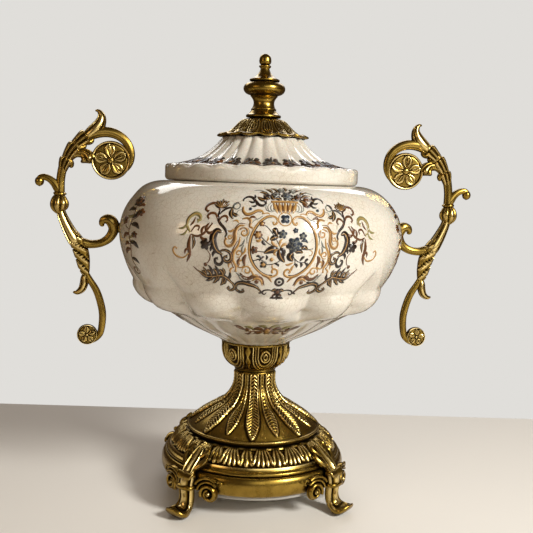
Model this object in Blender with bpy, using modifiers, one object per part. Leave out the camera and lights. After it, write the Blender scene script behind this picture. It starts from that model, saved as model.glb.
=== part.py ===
"""A covered mantel urn: a glazed ceramic bowl and lid on a cast brass stand.

The stand is a plinth on four scrolled feet, a leafy stem and a collar. A brass skirt and a
turned finial crown the lid, and two brass scroll handles spring from the sides of the bowl.
Metres, +Z up, origin on the floor under the middle. The front of the urn faces -Y.
"""

import math

import bmesh
import bpy
from mathutils import Matrix

MM = 0.001
MERGE = 0.00001                 # how close two points are one

# Clearances
GAP = 0.3 * MM                  # left between two pieces that touch
LID_FIT = 0.8 * MM              # between the lid's flange and the mouth of the bowl

# Heights of the pieces, from the floor up
PAD_CLEARANCE = 16.5 * MM       # floor to the underside of the pad
PAD_HEIGHT = 3.0 * MM
PLINTH_HEIGHT = 35.7 * MM
RING_HEIGHT = 16.8 * MM         # the plinth's big round ring
BEAD_HEIGHT = 3.6 * MM          # the thin bead on the ring
SLOPE_STEP = 2.5 * MM           # upright step between the bead and the leafy slope
STEM_HEIGHT = 55.6 * MM
DISC_EDGE = 4.8 * MM            # height of the stem's upright edge
COLLAR_HEIGHT = 28.0 * MM
BOWL_HEIGHT = 142.1 * MM
LID_HEIGHT = 39.7 * MM
SKIRT_HEIGHT = 16.8 * MM
FINIAL_HEIGHT = 57.2 * MM

# Radii
PAD_RADIUS = 79 * MM
PLINTH_RADIUS = 84 * MM         # the big round ring
SHELF_RADIUS = 76 * MM          # foot of the leafy slope above the ring
DISC_RADIUS = 61.5 * MM         # the stem's round foot
NECK_RADIUS = 18.4 * MM         # the stem's neck
COLLAR_RADIUS = 32 * MM
BOWL_RADIUS = 129 * MM          # the belly, over its round lobes
MOUTH_RADIUS = 86.2 * MM        # outside of the mouth
OPENING_RADIUS = 79 * MM        # inside of the mouth
LEDGE_RADIUS = 99 * MM          # where the gadroons end above the cone
BOWL_FOOT_RADIUS = 33.5 * MM
LID_RADIUS = 86.4 * MM
LID_TOP_RADIUS = 36 * MM
SKIRT_RADIUS = 41.5 * MM
BULB_RADIUS = 18.7 * MM         # the finial's bulb
BALL_RADIUS = 5.3 * MM          # the finial's ball

# Heights inside the bowl and lid
BELLY_DROP = 46 * MM            # mouth to the widest place
LEDGE_HEIGHT = 34.6 * MM        # bottom of the bowl to the end of the gadroons
FLANGE_DROP = 6 * MM            # how far the lid's flange hangs into the mouth
RIM_HEIGHT = 13.5 * MM          # the lid's upright rim

# Walls and small edges
BOWL_WALL = 6 * MM
LID_WALL = 5 * MM
RING_DEPTH = 4 * MM             # how far the plinth's ring bulges
BEAD_DEPTH = 2 * MM
BAND = 2 * MM                   # plain band at the ends of the stem and the collar
RIM_EDGE = 3 * MM               # bevel under the lid's rim
LEAF_END = 4 * MM               # length over which carved leaves run out
CREASE_END = 16 * MM            # length over which the lobes and gadroons change

# Carving: how many, and how deep
BOWL_LOBES = 6
BOWL_LOBE_DEPTH = 3.5 * MM
GADROONS = 12
GADROON_DEPTH = 4.5 * MM
CONE_FLUTES = 24
CONE_FLUTE_DEPTH = 0.7 * MM
LID_FLUTES = 24
LID_FLUTE_DEPTH = 1.6 * MM
SKIRT_LEAVES = 14
SKIRT_LEAF_DEPTH = 2.4 * MM
COLLAR_SHELLS = 6
COLLAR_SHELL_DEPTH = 1.6 * MM
STEM_LEAVES = 20
STEM_LEAF_DEPTH = 1.8 * MM
PLINTH_LEAVES = 16
PLINTH_LEAF_DEPTH = 1.8 * MM

# Feet
FOOT_REACH = 92 * MM            # middle of the urn to the middle of a sole
FOOT_THICKNESS = 5.5 * MM       # half the thickness of a leg
VOLUTE_RADIUS = 9.0 * MM
VOLUTE_OFFSET = 20 * MM         # leg to the middle of a side volute
VOLUTE_RISE = 22 * MM           # floor to the middle of a side volute

# Handles
HANDLE_RISE = 2.5 * MM           # the boss above the widest place of the bowl
HANDLE_SIZE = 75 * MM           # bowl to the far side of the handle; the scrolls keep their shares
BOSS_RADIUS = 4.5 * MM
ROSETTE_RADIUS = 17 * MM        # the flower disc in the upper scroll
ROSETTE_THICKNESS = 8.5 * MM
BUTTON_RADIUS = 9 * MM          # the flower button at the lower end
BUTTON_THICKNESS = 8 * MM

# Steps around a turned piece
BOWL_STEPS = 48
HOLLOW_STEPS = 24
LID_STEPS = 48
FINIAL_STEPS = 12
SKIRT_STEPS = 42
COLLAR_STEPS = 24
STEM_STEPS = 40
PLINTH_STEPS = 32
PAD_STEPS = 24

# Where each piece starts
PAD_Z = PAD_CLEARANCE
PLINTH_Z = PAD_Z + PAD_HEIGHT + GAP
STEM_Z = PLINTH_Z + PLINTH_HEIGHT + GAP
COLLAR_Z = STEM_Z + STEM_HEIGHT + GAP
BOWL_Z = COLLAR_Z + COLLAR_HEIGHT + GAP
LID_Z = BOWL_Z + BOWL_HEIGHT + GAP
SKIRT_Z = LID_Z + LID_HEIGHT + GAP
FINIAL_Z = SKIRT_Z + SKIRT_HEIGHT + GAP
BELLY_Z = BOWL_Z + BOWL_HEIGHT - BELLY_DROP


# Outlines: lists of (radius, height) that run down the outer side

def swell(top, widest, count):
    """A quarter ellipse from a level start at top to an upright end at widest."""
    points = []
    for i in range(1, count + 1):
        turn = 0.5 * math.pi * i / count
        points.append((top[0] + (widest[0] - top[0]) * math.sin(turn),
                       widest[1] + (top[1] - widest[1]) * math.cos(turn)))
    return points


def tuck(widest, end, count, power=1.8):
    """From an upright start at widest, in and down to end."""
    points = []
    for i in range(1, count + 1):
        t = i / count
        points.append((widest[0] + (end[0] - widest[0]) * t ** power,
                       widest[1] + (end[1] - widest[1]) * t))
    return points


def bow(start, end, bulge, count):
    """From start to end on a curve that bulges outwards by a share of the way, or in if negative."""
    run = end[0] - start[0]
    drop = end[1] - start[1]
    points = []
    for i in range(1, count + 1):
        t = i / count
        push = 4 * bulge * t * (1 - t)
        points.append((start[0] + run * t - drop * push, start[1] + drop * t + run * push))
    return points


def bead(radius, top, bottom, depth, count):
    """Half round moulding: it stands out to radius between two heights."""
    middle = 0.5 * (top + bottom)
    half = 0.5 * (top - bottom)
    points = []
    for i in range(count + 1):
        turn = math.pi * i / count
        points.append((radius - depth * (1 - math.sin(turn)), middle + half * math.cos(turn)))
    return points


# Making and joining

def material(name, colour, roughness, metallic):
    """A plain Principled finish."""
    finish = bpy.data.materials.new(name)
    finish.use_nodes = True
    shader = finish.node_tree.nodes["Principled BSDF"]
    shader.inputs["Base Color"].default_value = (*colour, 1.0)
    shader.inputs["Roughness"].default_value = roughness
    shader.inputs["Metallic"].default_value = metallic
    finish.diffuse_color = (*colour, 1.0)
    return finish


def add(name, data):
    """A new object for a mesh or a curve, in the working collection."""
    thing = bpy.data.objects.new(name, data)
    bpy.context.scene.collection.objects.link(thing)
    return thing


def settle(thing):
    """Turn an object with its modifiers, or a curve, into a plain mesh of its own."""
    bpy.context.view_layer.update()
    graph = bpy.context.evaluated_depsgraph_get()
    mesh = bpy.data.meshes.new_from_object(thing.evaluated_get(graph))
    name = thing.name
    place = thing.matrix_world.copy()
    bpy.data.objects.remove(thing)
    work = bmesh.new()
    work.from_mesh(mesh)
    bmesh.ops.remove_doubles(work, verts=work.verts, dist=MERGE)
    work.to_mesh(mesh)
    work.free()
    mesh.transform(place)
    return add(name, mesh)


def turned(name, outline, steps):
    """A body turned about Z. The outline starts and ends on the axis."""
    mesh = bpy.data.meshes.new(name)
    work = bmesh.new()
    points = [work.verts.new((radius, 0, height)) for radius, height in outline]
    for above, below in zip(points, points[1:]):
        work.edges.new((above, below))
    work.to_mesh(mesh)
    work.free()
    thing = add(name, mesh)
    screw = thing.modifiers.new("Turning", "SCREW")
    screw.steps = steps
    screw.render_steps = steps
    screw.use_merge_vertices = True
    screw.merge_threshold = MERGE
    return settle(thing)


def carve(thing, relief):
    """Move each point outwards and up by relief(angle from the front, radius, height)."""
    for vertex in thing.data.vertices:
        x, y, z = vertex.co
        radius = math.hypot(x, y)
        if radius < MERGE:
            continue
        out, up = relief(math.atan2(x, -y), radius, z)
        vertex.co = (x * (1 + out / radius), y * (1 + out / radius), z + up)


def crest(angle, count):
    """1 along the crest of each of count lobes, 0 in the creases between them."""
    return abs(math.cos(0.5 * count * angle))


def fade(value, start, end):
    """0 at start, 1 at end, with a smooth change between."""
    t = min(1.0, max(0.0, (value - start) / (end - start)))
    return t * t * (3 - 2 * t)


def rod(name, path, sides_level=1, smooth=2, flat=1.0):
    """A round bar through (x, y, z, radius) points, with closed ends."""
    curve = bpy.data.curves.new(name, "CURVE")
    curve.dimensions = "3D"
    curve.twist_mode = "MINIMUM"
    curve.bevel_depth = 1.0
    curve.bevel_resolution = sides_level
    curve.use_fill_caps = True
    curve.resolution_u = smooth
    spline = curve.splines.new("BEZIER")
    spline.bezier_points.add(len(path) - 1)
    for point, (x, y, z, radius) in zip(spline.bezier_points, path):
        point.co = (x, y, z)
        point.radius = radius
        point.handle_left_type = "AUTO"
        point.handle_right_type = "AUTO"
    bar = settle(add(name, curve))
    bar.data.transform(Matrix.Diagonal((1, flat, 1, 1)))
    return bar


def combine(body, others, operation):
    """Join the others to the body, or cut them from it, and remove them."""
    for number, other in enumerate(others):
        change = body.modifiers.new("Boolean %d" % number, "BOOLEAN")
        change.operation = operation
        change.solver = "EXACT"
        change.object = other
    body = settle(body)
    for other in others:
        bpy.data.objects.remove(other)
    return body


# Stand

def make_pad():
    """The thin pad under the plinth."""
    top = PAD_Z + PAD_HEIGHT
    outline = [(0, top), (PAD_RADIUS, top), (PAD_RADIUS, PAD_Z), (0, PAD_Z)]
    return turned("base_pad", outline, PAD_STEPS)


def plinth_outline(grow):
    """The plinth's side, grown all round by a clearance when it is used as a cutter."""
    top = PLINTH_Z + PLINTH_HEIGHT
    ring_top = PLINTH_Z + RING_HEIGHT
    bead_top = ring_top + BEAD_HEIGHT
    slope_end = bead_top + SLOPE_STEP
    outline = [(0, top + grow), (DISC_RADIUS + grow, top + grow)]
    outline += bow((DISC_RADIUS + grow, top), (SHELF_RADIUS + grow, slope_end), 0.13, 3)
    outline += bead(0.5 * (SHELF_RADIUS + PLINTH_RADIUS) + grow, bead_top, ring_top, BEAD_DEPTH, 2)
    outline += bead(PLINTH_RADIUS + grow, ring_top, PLINTH_Z - grow, RING_DEPTH, 3)
    outline.append((0, PLINTH_Z - grow))
    return outline


def make_plinth():
    """A round plinth: a big ring, a bead and a slope carved with broad leaves."""
    plinth = turned("plinth", plinth_outline(0), PLINTH_STEPS)
    top = PLINTH_Z + PLINTH_HEIGHT
    foot = PLINTH_Z + RING_HEIGHT + BEAD_HEIGHT + 0.5 * SLOPE_STEP

    def leaves(angle, radius, height):
        on_slope = fade(height, foot, foot + LEAF_END) * fade(top - height, 0, LEAF_END)
        return -PLINTH_LEAF_DEPTH * on_slope * (1 - crest(angle, PLINTH_LEAVES)), 0

    carve(plinth, leaves)
    return plinth


def make_stem():
    """The stem: a round foot that sweeps up to a neck, under a coat of long leaves."""
    top = STEM_Z + STEM_HEIGHT
    edge = STEM_Z + DISC_EDGE
    knee = (0.52 * DISC_RADIUS, STEM_Z + 0.47 * STEM_HEIGHT)
    outline = [(0, top), (NECK_RADIUS, top), (NECK_RADIUS, top - BAND)]
    outline += bow((NECK_RADIUS, top - BAND), knee, -0.17, 4)
    outline += bow(knee, (DISC_RADIUS, edge), 0.08, 2)
    outline += [(DISC_RADIUS - 1.5 * MM, STEM_Z), (0, STEM_Z)]
    stem = turned("stem", outline, STEM_STEPS)

    def leaves(angle, radius, height):
        between = 1 - crest(angle, STEM_LEAVES)
        body = fade(DISC_RADIUS - radius, 0, 6 * MM) * fade(top - height, LEAF_END, 4 * LEAF_END)
        body *= fade(height, STEM_Z, edge)
        slope = min(1.0, radius / DISC_RADIUS)
        depth = STEM_LEAF_DEPTH * between * body
        return -depth * (1 - slope), -depth * slope

    carve(stem, leaves)
    return stem


def make_collar():
    """The cup between the stem and the bowl, with a ring of shells."""
    top = COLLAR_Z + COLLAR_HEIGHT
    waist = (NECK_RADIUS + 0.3 * BAND, COLLAR_Z + BAND)
    widest = (COLLAR_RADIUS, top - 2.5 * BAND)
    outline = [(0, top), (COLLAR_RADIUS - 0.5 * BAND, top), widest]
    outline += bow(widest, waist, 0.17, 4)
    outline += [(NECK_RADIUS, COLLAR_Z), (0, COLLAR_Z)]
    collar = turned("collar", outline, COLLAR_STEPS)

    def shells(angle, radius, height):
        on_cup = fade(height, COLLAR_Z + BAND, COLLAR_Z + BAND + 7 * MM)
        on_cup *= fade(top - height, 0.5 * BAND, LEAF_END)
        return -COLLAR_SHELL_DEPTH * on_cup * (1 - crest(angle, 2 * COLLAR_SHELLS)), 0

    carve(collar, shells)
    return collar


def make_foot():
    """One scrolled foot, made on the +X side: a leg with a curled toe, and a volute each side."""
    reach = FOOT_REACH
    thick = FOOT_THICKNESS
    ledge = PLINTH_Z + RING_HEIGHT
    slope = PLINTH_Z + 0.86 * PLINTH_HEIGHT
    front = PLINTH_RADIUS + thick
    leg = rod("foot", [
        (0.5 * (DISC_RADIUS + SHELF_RADIUS) + 3 * MM, 0, slope, 0.3 * thick),
        (SHELF_RADIUS + 3 * MM, 0, ledge + 7 * MM, 0.6 * thick),
        (PLINTH_RADIUS + 0.3 * thick, 0, ledge + 1 * MM, 0.8 * thick),
        (front, 0, VOLUTE_RISE + 6 * MM, thick),
        (front, 0, 0.7 * VOLUTE_RISE, 0.8 * thick),
        (reach - 0.2 * thick, 0, 1.6 * thick, thick),
        (reach + 0.6 * thick, 0, 0.62 * thick, thick),
        (reach + 2.0 * thick, 0, 1.15 * thick, 0.7 * thick),
        (reach + 3.0 * thick, 0, 1.75 * thick, 0.25 * thick),
    ], smooth=1, flat=1.3)
    parts = []
    spread = math.asin(VOLUTE_OFFSET / PLINTH_RADIUS)
    back = 3 * MM
    outline = [(0, 5.5 * MM), (0.35 * VOLUTE_RADIUS, 4 * MM), (0.55 * VOLUTE_RADIUS, 2.5 * MM)]
    outline += [(0.85 * VOLUTE_RADIUS, 5 * MM), (VOLUTE_RADIUS, 3 * MM)]
    outline += [(VOLUTE_RADIUS, -back), (0, -back)]
    for side in (-1, 1):
        volute = turned("volute", outline, 8)
        volute.data.transform(Matrix.Rotation(side * spread, 4, "Z")
                              @ Matrix.Translation((PLINTH_RADIUS + back + 2 * GAP, 0, VOLUTE_RISE))
                              @ Matrix.Rotation(0.5 * math.pi, 4, "Y"))
        parts.append(volute)
    beside = front * math.cos(spread)
    brow = VOLUTE_RISE + 0.8 * VOLUTE_RADIUS
    parts.append(rod("brow", [
        (beside, -VOLUTE_OFFSET, brow, 0.5 * thick),
        (0.5 * (front + beside), -0.5 * VOLUTE_OFFSET, ledge - 2 * MM, 0.6 * thick),
        (front + 1 * MM, 0, ledge - 4 * MM, 0.6 * thick),
        (0.5 * (front + beside), 0.5 * VOLUTE_OFFSET, ledge - 2 * MM, 0.6 * thick),
        (beside, VOLUTE_OFFSET, brow, 0.5 * thick),
    ], sides_level=0, smooth=1))
    foot = combine(leg, parts, "UNION")
    stand = turned("stand", plinth_outline(GAP), PLINTH_STEPS)
    bpy.ops.mesh.primitive_cube_add(size=2 * reach, location=(reach, 0, -reach))
    floor = bpy.context.object
    return combine(foot, [stand, floor], "DIFFERENCE")


# Bowl and lid

def bowl_outline():
    """The bowl's outside: a round shoulder, a belly, a ledge of lobes and a fluted cone."""
    top = BOWL_Z + BOWL_HEIGHT
    ledge = BOWL_Z + LEDGE_HEIGHT
    outline = [(0, top), (MOUTH_RADIUS, top)]
    outline += swell((MOUTH_RADIUS, top), (BOWL_RADIUS, BELLY_Z), 5)
    outline += tuck((BOWL_RADIUS, BELLY_Z), (LEDGE_RADIUS + 2 * MM, ledge + 3 * MM), 4)
    outline += [(LEDGE_RADIUS - 1 * MM, ledge - 1 * MM), (LEDGE_RADIUS - 7 * MM, ledge - 4 * MM)]
    outline.append((BOWL_FOOT_RADIUS + 3 * MM, BOWL_Z + 2 * MM))
    outline += [(BOWL_FOOT_RADIUS, BOWL_Z), (0, BOWL_Z)]
    return outline


def bowl_body(name, grow):
    """The carved bowl without its hollow, grown all round by a clearance when it is a cutter."""
    ledge = BOWL_Z + LEDGE_HEIGHT
    top = BOWL_Z + BOWL_HEIGHT
    outline = [(radius + grow if radius else 0, height) for radius, height in bowl_outline()]
    body = turned(name, outline, BOWL_STEPS)

    def lobes(angle, radius, height):
        belly = fade(height, ledge + 0.5 * CREASE_END, BELLY_Z - CREASE_END)
        belly *= fade(top - height, 0, CREASE_END)
        low_belly = 1 - fade(height, ledge + CREASE_END, BELLY_Z - CREASE_END)
        low_belly *= fade(height, ledge - 5 * MM, ledge)
        cone = 1 - fade(height, ledge - 7 * MM, ledge - 2 * MM)
        cone *= fade(height, BOWL_Z, BOWL_Z + 5 * MM)
        out = -BOWL_LOBE_DEPTH * belly * (1 - crest(angle, BOWL_LOBES))
        out -= GADROON_DEPTH * low_belly * (1 - crest(angle, GADROONS))
        out -= CONE_FLUTE_DEPTH * cone * (1 - crest(angle, CONE_FLUTES))
        return out, 0

    carve(body, lobes)
    return body


def make_bowl():
    """The ceramic bowl, hollow and open at the top."""
    ledge = BOWL_Z + LEDGE_HEIGHT
    top = BOWL_Z + BOWL_HEIGHT
    wall = BOWL_WALL
    inner_belly = BOWL_RADIUS - BOWL_LOBE_DEPTH - wall
    inner_ledge = (LEDGE_RADIUS - GADROON_DEPTH - wall, ledge + 0.3 * wall)
    hollow = [(0, top + wall), (OPENING_RADIUS, top + wall), (OPENING_RADIUS, top - wall)]
    hollow += swell((OPENING_RADIUS, top - wall), (inner_belly, BELLY_Z), 3)
    hollow += tuck((inner_belly, BELLY_Z), inner_ledge, 2)
    hollow += [(BOWL_FOOT_RADIUS, BOWL_Z + 1.6 * wall), (0, BOWL_Z + 1.4 * wall)]
    return combine(bowl_body("bowl", 0), [turned("bowl_hollow", hollow, HOLLOW_STEPS)], "DIFFERENCE")


def make_lid():
    """The ceramic lid: a fluted trumpet on an upright rim, hollow, with a flange in the mouth."""
    top = LID_Z + LID_HEIGHT
    rim_top = LID_Z + RIM_HEIGHT
    seat_radius = LID_RADIUS - RIM_EDGE
    flange_radius = OPENING_RADIUS - LID_FIT
    flange_end = LID_Z - FLANGE_DROP
    outline = [(0, top), (LID_TOP_RADIUS, top)]
    outline += bow((LID_TOP_RADIUS, top), (LID_RADIUS - 4 * MM, rim_top + 1.2 * MM), -0.12, 5)
    outline += [(LID_RADIUS, rim_top - 1 * MM), (LID_RADIUS, LID_Z + RIM_EDGE)]
    outline += [(seat_radius, LID_Z), (flange_radius, LID_Z), (flange_radius, flange_end), (0, flange_end)]
    lid = turned("lid", outline, LID_STEPS)

    def flutes(angle, radius, height):
        above = fade(height, rim_top - 3 * MM, rim_top + 2 * MM)
        crease = LID_FLUTE_DEPTH * above * (1 - crest(angle, LID_FLUTES))
        slope = fade(radius, LID_TOP_RADIUS, 0.8 * LID_RADIUS)
        rim = fade(radius, LID_RADIUS - 6 * MM, LID_RADIUS)
        return -crease * (1 - slope), -crease * max(slope * (1 - rim), 0.6 * rim)

    carve(lid, flutes)
    wall = LID_WALL
    inside = flange_radius - wall
    hollow = [(0, top - 1.2 * wall), (LID_TOP_RADIUS - wall, top - 1.2 * wall)]
    hollow += bow(hollow[-1], (inside, rim_top - wall), -0.12, 2)
    hollow += [(inside, flange_end - wall), (0, flange_end - wall)]
    return combine(lid, [turned("lid_hollow", hollow, HOLLOW_STEPS)], "DIFFERENCE")


def make_skirt():
    """The leafy brass skirt on the lid, with a scalloped rim."""
    top = SKIRT_Z + SKIRT_HEIGHT
    rim = SKIRT_Z + 1.8 * MM
    shoulder = (0.55 * SKIRT_RADIUS, SKIRT_Z + 0.76 * SKIRT_HEIGHT)
    waist = (0.8 * SKIRT_RADIUS, SKIRT_Z + 0.22 * SKIRT_HEIGHT)
    outline = [(0, top), (0.32 * SKIRT_RADIUS, top)]
    outline += bow((0.32 * SKIRT_RADIUS, top), shoulder, 0.12, 2)
    outline += [waist, (0.93 * SKIRT_RADIUS, rim + 0.6 * MM), (SKIRT_RADIUS, rim)]
    outline += [(0.97 * SKIRT_RADIUS, SKIRT_Z), (0, SKIRT_Z)]
    skirt = turned("finial_skirt", outline, SKIRT_STEPS)

    def leaves(angle, radius, height):
        crease = SKIRT_LEAF_DEPTH * (1 - crest(angle, SKIRT_LEAVES)) * fade(top - height, 1 * MM, 5 * MM)
        return -crease * fade(radius, 0.3 * SKIRT_RADIUS, SKIRT_RADIUS), 0

    carve(skirt, leaves)
    return skirt


def make_finial():
    """The turned finial: a foot ring, a waist, a bulb, a cap and a ball on a thin neck."""
    low = FINIAL_Z
    high = FINIAL_Z + FINIAL_HEIGHT
    ball = high - BALL_RADIUS
    bulb = low + 0.46 * FINIAL_HEIGHT
    cap = low + 0.58 * FINIAL_HEIGHT
    neck = 0.2 * BULB_RADIUS
    foot = 0.84 * BULB_RADIUS
    outline = [(0, high)]
    outline += swell((0, high), (BALL_RADIUS, ball), 3)
    outline += bow((BALL_RADIUS, ball), (neck, ball - 0.85 * BALL_RADIUS), 0.2, 2)
    outline += [(0.27 * BULB_RADIUS, ball - BALL_RADIUS), (neck, ball - 1.4 * BALL_RADIUS)]
    outline += bow((neck, ball - 1.4 * BALL_RADIUS), (0.69 * BULB_RADIUS, cap + 1.5 * MM), -0.14, 2)
    outline += [(0.69 * BULB_RADIUS, cap), (0.58 * BULB_RADIUS, cap - 1 * MM)]
    outline += bead(BULB_RADIUS, cap - 1 * MM, bulb - 5.5 * MM, 0.33 * BULB_RADIUS, 4)
    outline += bow((0.65 * BULB_RADIUS, bulb - 6.5 * MM), (0.6 * BULB_RADIUS, low + 8.5 * MM), -0.2, 2)
    outline += [(foot, low + 3 * MM), (foot, low + 1.2 * MM), (0.62 * BULB_RADIUS, low), (0, low)]
    return turned("finial", outline, FINIAL_STEPS)


# Handles

def flower(name, radius, thickness, petals, steps):
    """A round flower button, domed on both sides, that faces -Y and +Y."""
    half = 0.5 * thickness
    face = [(0, half), (0.55 * radius, half), (0.85 * radius, 0.7 * half), (radius, 0.95 * half)]
    outline = face + [(share, -height) for share, height in reversed(face)]
    button = turned(name, outline, steps)

    def petal(angle, distance, height):
        in_flower = fade(distance, 0.2 * radius, 0.5 * radius) * (1 - fade(distance, 0.6 * radius, radius))
        dip = 0.45 * half * in_flower * (1 - crest(angle, petals))
        return 0, -math.copysign(dip, height)

    carve(button, petal)
    button.data.transform(Matrix.Rotation(0.5 * math.pi, 4, "X"))
    return button


def spiral(centre, start, end, radius_start, radius_end, thick_start, thick_end, count):
    """Points of a scroll in the XZ plane about its centre; angles in degrees from +X."""
    points = []
    for i in range(count + 1):
        t = i / count
        turn = math.radians(start + (end - start) * t)
        reach = radius_start + (radius_end - radius_start) * t
        points.append((centre[0] + reach * math.cos(turn), 0, centre[1] + reach * math.sin(turn),
                       thick_start + (thick_end - thick_start) * t))
    return points


def make_handle():
    """One scroll handle on the +X side, in the plane of the urn's middle.

    Places are shares of the handle's size, from the boss on the bowl: outwards, up, half thickness.
    """
    size = HANDLE_SIZE

    def at(points):
        return [(out * size, 0, up * size, thick * size) for out, up, thick in points]

    eye = (0.11 * size, 0.787 * size)
    button = (0.36 * size, -1.283 * size)
    stem = at([
        (0.297, -1.355, 0.040),
        (0.200, -1.245, 0.042),
        (0.184, -1.045, 0.043),
        (0.250, -0.770, 0.041),
        (0.372, -0.570, 0.036),
        (0.406, -0.470, 0.066),
        (0.430, -0.345, 0.088),
        (0.478, -0.200, 0.094),
        (0.570, -0.080, 0.064),
        (0.637, 0.060, 0.053),
        (0.678, 0.185, 0.052),
        (0.687, 0.235, 0.090),
        (0.688, 0.310, 0.108),
        (0.683, 0.420, 0.062),
        (0.677, 0.590, 0.050),
        (0.640, 0.735, 0.056),
        (0.560, 0.890, 0.066),
        (0.440, 1.010, 0.075),
    ])
    stem += spiral(eye, 78, 196, 0.330 * size, 0.195 * size, 0.062 * size, 0.045 * size, 5)
    branches = [
        at([(0.610, 0.800, 0.055), (0.530, 0.870, 0.060), (0.440, 0.880, 0.066), (0.375, 0.840, 0.072),
            (0.352, 0.765, 0.045)]),
        at([(0.360, 1.060, 0.070), (0.275, 1.190, 0.062), (0.248, 1.300, 0.046), (0.290, 1.380, 0.016)]),
        at([(0.690, 0.440, 0.048), (0.735, 0.540, 0.040), (0.812, 0.597, 0.034), (0.905, 0.610, 0.034),
            (0.957, 0.560, 0.046)]),
        at([(0.480, -0.160, 0.060), (0.330, -0.200, 0.048), (0.200, -0.180, 0.048), (0.105, -0.110, 0.058),
            (0.062, -0.010, 0.066), (0.085, 0.080, 0.074), (0.150, 0.110, 0.058), (0.200, 0.065, 0.030)]),
        at([(0.395, -0.560, 0.038), (0.415, -0.700, 0.036), (0.520, -0.790, 0.014)]),
    ]
    parts = [rod("branch", path, smooth=1) for path in branches]
    rosette = flower("rosette", ROSETTE_RADIUS, ROSETTE_THICKNESS, 5, 15)
    rosette.data.transform(Matrix.Translation((eye[0], 0, eye[1])))
    end = flower("button", BUTTON_RADIUS, BUTTON_THICKNESS, 5, 10)
    end.data.transform(Matrix.Translation((button[0], 0, button[1])))
    boss = rod("boss", [(-2 * MM, 0, 0, BOSS_RADIUS), (0.08 * size, 0, 0, BOSS_RADIUS)], smooth=1)
    handle = combine(rod("handle", stem, smooth=1), parts + [rosette, end, boss], "UNION")
    handle.data.transform(Matrix.Translation((BOWL_RADIUS - BOWL_LOBE_DEPTH, 0, BELLY_Z + HANDLE_RISE)))
    return combine(handle, [bowl_body("bowl_side", GAP)], "DIFFERENCE")


# The whole urn

def finish(thing, coat, home):
    """Give a piece its material and smooth shading, and put it in the urn's collection."""
    thing.data.name = thing.name
    thing.data.materials.clear()
    thing.data.materials.append(coat)
    thing.data.shade_smooth()
    thing.data.set_sharp_from_angle(angle=math.radians(35))
    for group in list(thing.users_collection):
        group.objects.unlink(thing)
    home.objects.link(thing)


def main():
    """Build every piece in its own object."""
    for thing in list(bpy.data.objects):
        bpy.data.objects.remove(thing)
    home = bpy.data.collections.new("mantel_urn")
    bpy.context.scene.collection.children.link(home)
    brass = material("cast_brass", (0.42, 0.27, 0.06), 0.32, 1.0)
    glaze = material("cream_glaze", (0.80, 0.74, 0.62), 0.15, 0.0)
    pad = material("grey_pad", (0.45, 0.44, 0.42), 0.8, 0.0)
    for piece in (make_plinth(), make_stem(), make_collar(), make_skirt(), make_finial()):
        finish(piece, brass, home)
    for piece in (make_bowl(), make_lid()):
        finish(piece, glaze, home)
    finish(make_pad(), pad, home)
    foot = make_foot()
    for name, turn in (("foot_front_right", -45), ("foot_back_right", 45),
                       ("foot_back_left", 135), ("foot_front_left", 225)):
        copy = add(name, foot.data.copy())
        copy.rotation_euler = (0, 0, math.radians(turn))
        finish(copy, brass, home)
    bpy.data.objects.remove(foot)
    handle = make_handle()
    for name, turn in (("handle_right", 0), ("handle_left", 180)):
        copy = add(name, handle.data.copy())
        copy.rotation_euler = (0, 0, math.radians(turn))
        finish(copy, brass, home)
    bpy.data.objects.remove(handle)


main()
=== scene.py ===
"""The looks of a covered mantel urn: crackle-glazed porcelain on antique cast brass.

Run as a script it dresses the frame with the finished pieces. The front of the urn faces -Y,
lengths are metres, and angles round the urn run from the front towards +X.
"""

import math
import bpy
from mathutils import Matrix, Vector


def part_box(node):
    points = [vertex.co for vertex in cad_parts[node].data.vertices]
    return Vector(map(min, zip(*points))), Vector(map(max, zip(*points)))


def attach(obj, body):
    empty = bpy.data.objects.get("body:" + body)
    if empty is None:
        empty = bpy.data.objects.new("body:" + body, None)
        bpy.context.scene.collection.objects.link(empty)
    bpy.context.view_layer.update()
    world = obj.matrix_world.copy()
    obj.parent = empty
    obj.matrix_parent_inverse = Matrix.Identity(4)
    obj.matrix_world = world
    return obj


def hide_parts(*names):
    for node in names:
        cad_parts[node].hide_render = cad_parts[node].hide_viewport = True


bl_info = {
    "name": "Mantel Urn",
    "version": (1, 0, 0),
    "blender": (4, 5, 0),
    "location": "View3D > Sidebar > Urn",
    "description": "Builds a lobed porcelain urn with a printed cartouche on a cast brass stand",
    "category": "Add Mesh",
}

import bmesh
import bpy
import numpy as np
from mathutils import Matrix, Vector

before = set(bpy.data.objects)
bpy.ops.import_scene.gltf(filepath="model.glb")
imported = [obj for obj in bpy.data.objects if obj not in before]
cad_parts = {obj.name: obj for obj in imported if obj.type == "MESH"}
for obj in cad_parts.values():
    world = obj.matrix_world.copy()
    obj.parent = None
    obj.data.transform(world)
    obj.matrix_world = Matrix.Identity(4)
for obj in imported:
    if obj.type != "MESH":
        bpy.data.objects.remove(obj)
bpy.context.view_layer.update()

MM = 0.001
MERGE = 0.01 * MM               # how close two points are one

# Heights from the frame, and radii as in the solids


def ends(node):
    """The lowest and the highest height of a piece of the frame."""
    lowest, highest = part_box(node)
    return float(lowest[2]), float(highest[2])


BOWL_LOW, BOWL_TOP = ends("bowl")
LID_LOW, LID_TOP = ends("lid")
SKIRT_LOW, SKIRT_TOP = ends("finial_skirt")
FINIAL_LOW, FINIAL_TOP = ends("finial")
COLLAR_LOW, COLLAR_TOP = ends("collar")
STEM_LOW, STEM_TOP = ends("stem")
PLINTH_LOW, PLINTH_TOP = ends("plinth")
PAD_LOW, PAD_TOP = ends("base_pad")
FLANGE_DROP = 6 * MM            # the lid's flange hangs this far into the mouth
LID_SEAT = LID_LOW + FLANGE_DROP

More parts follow.
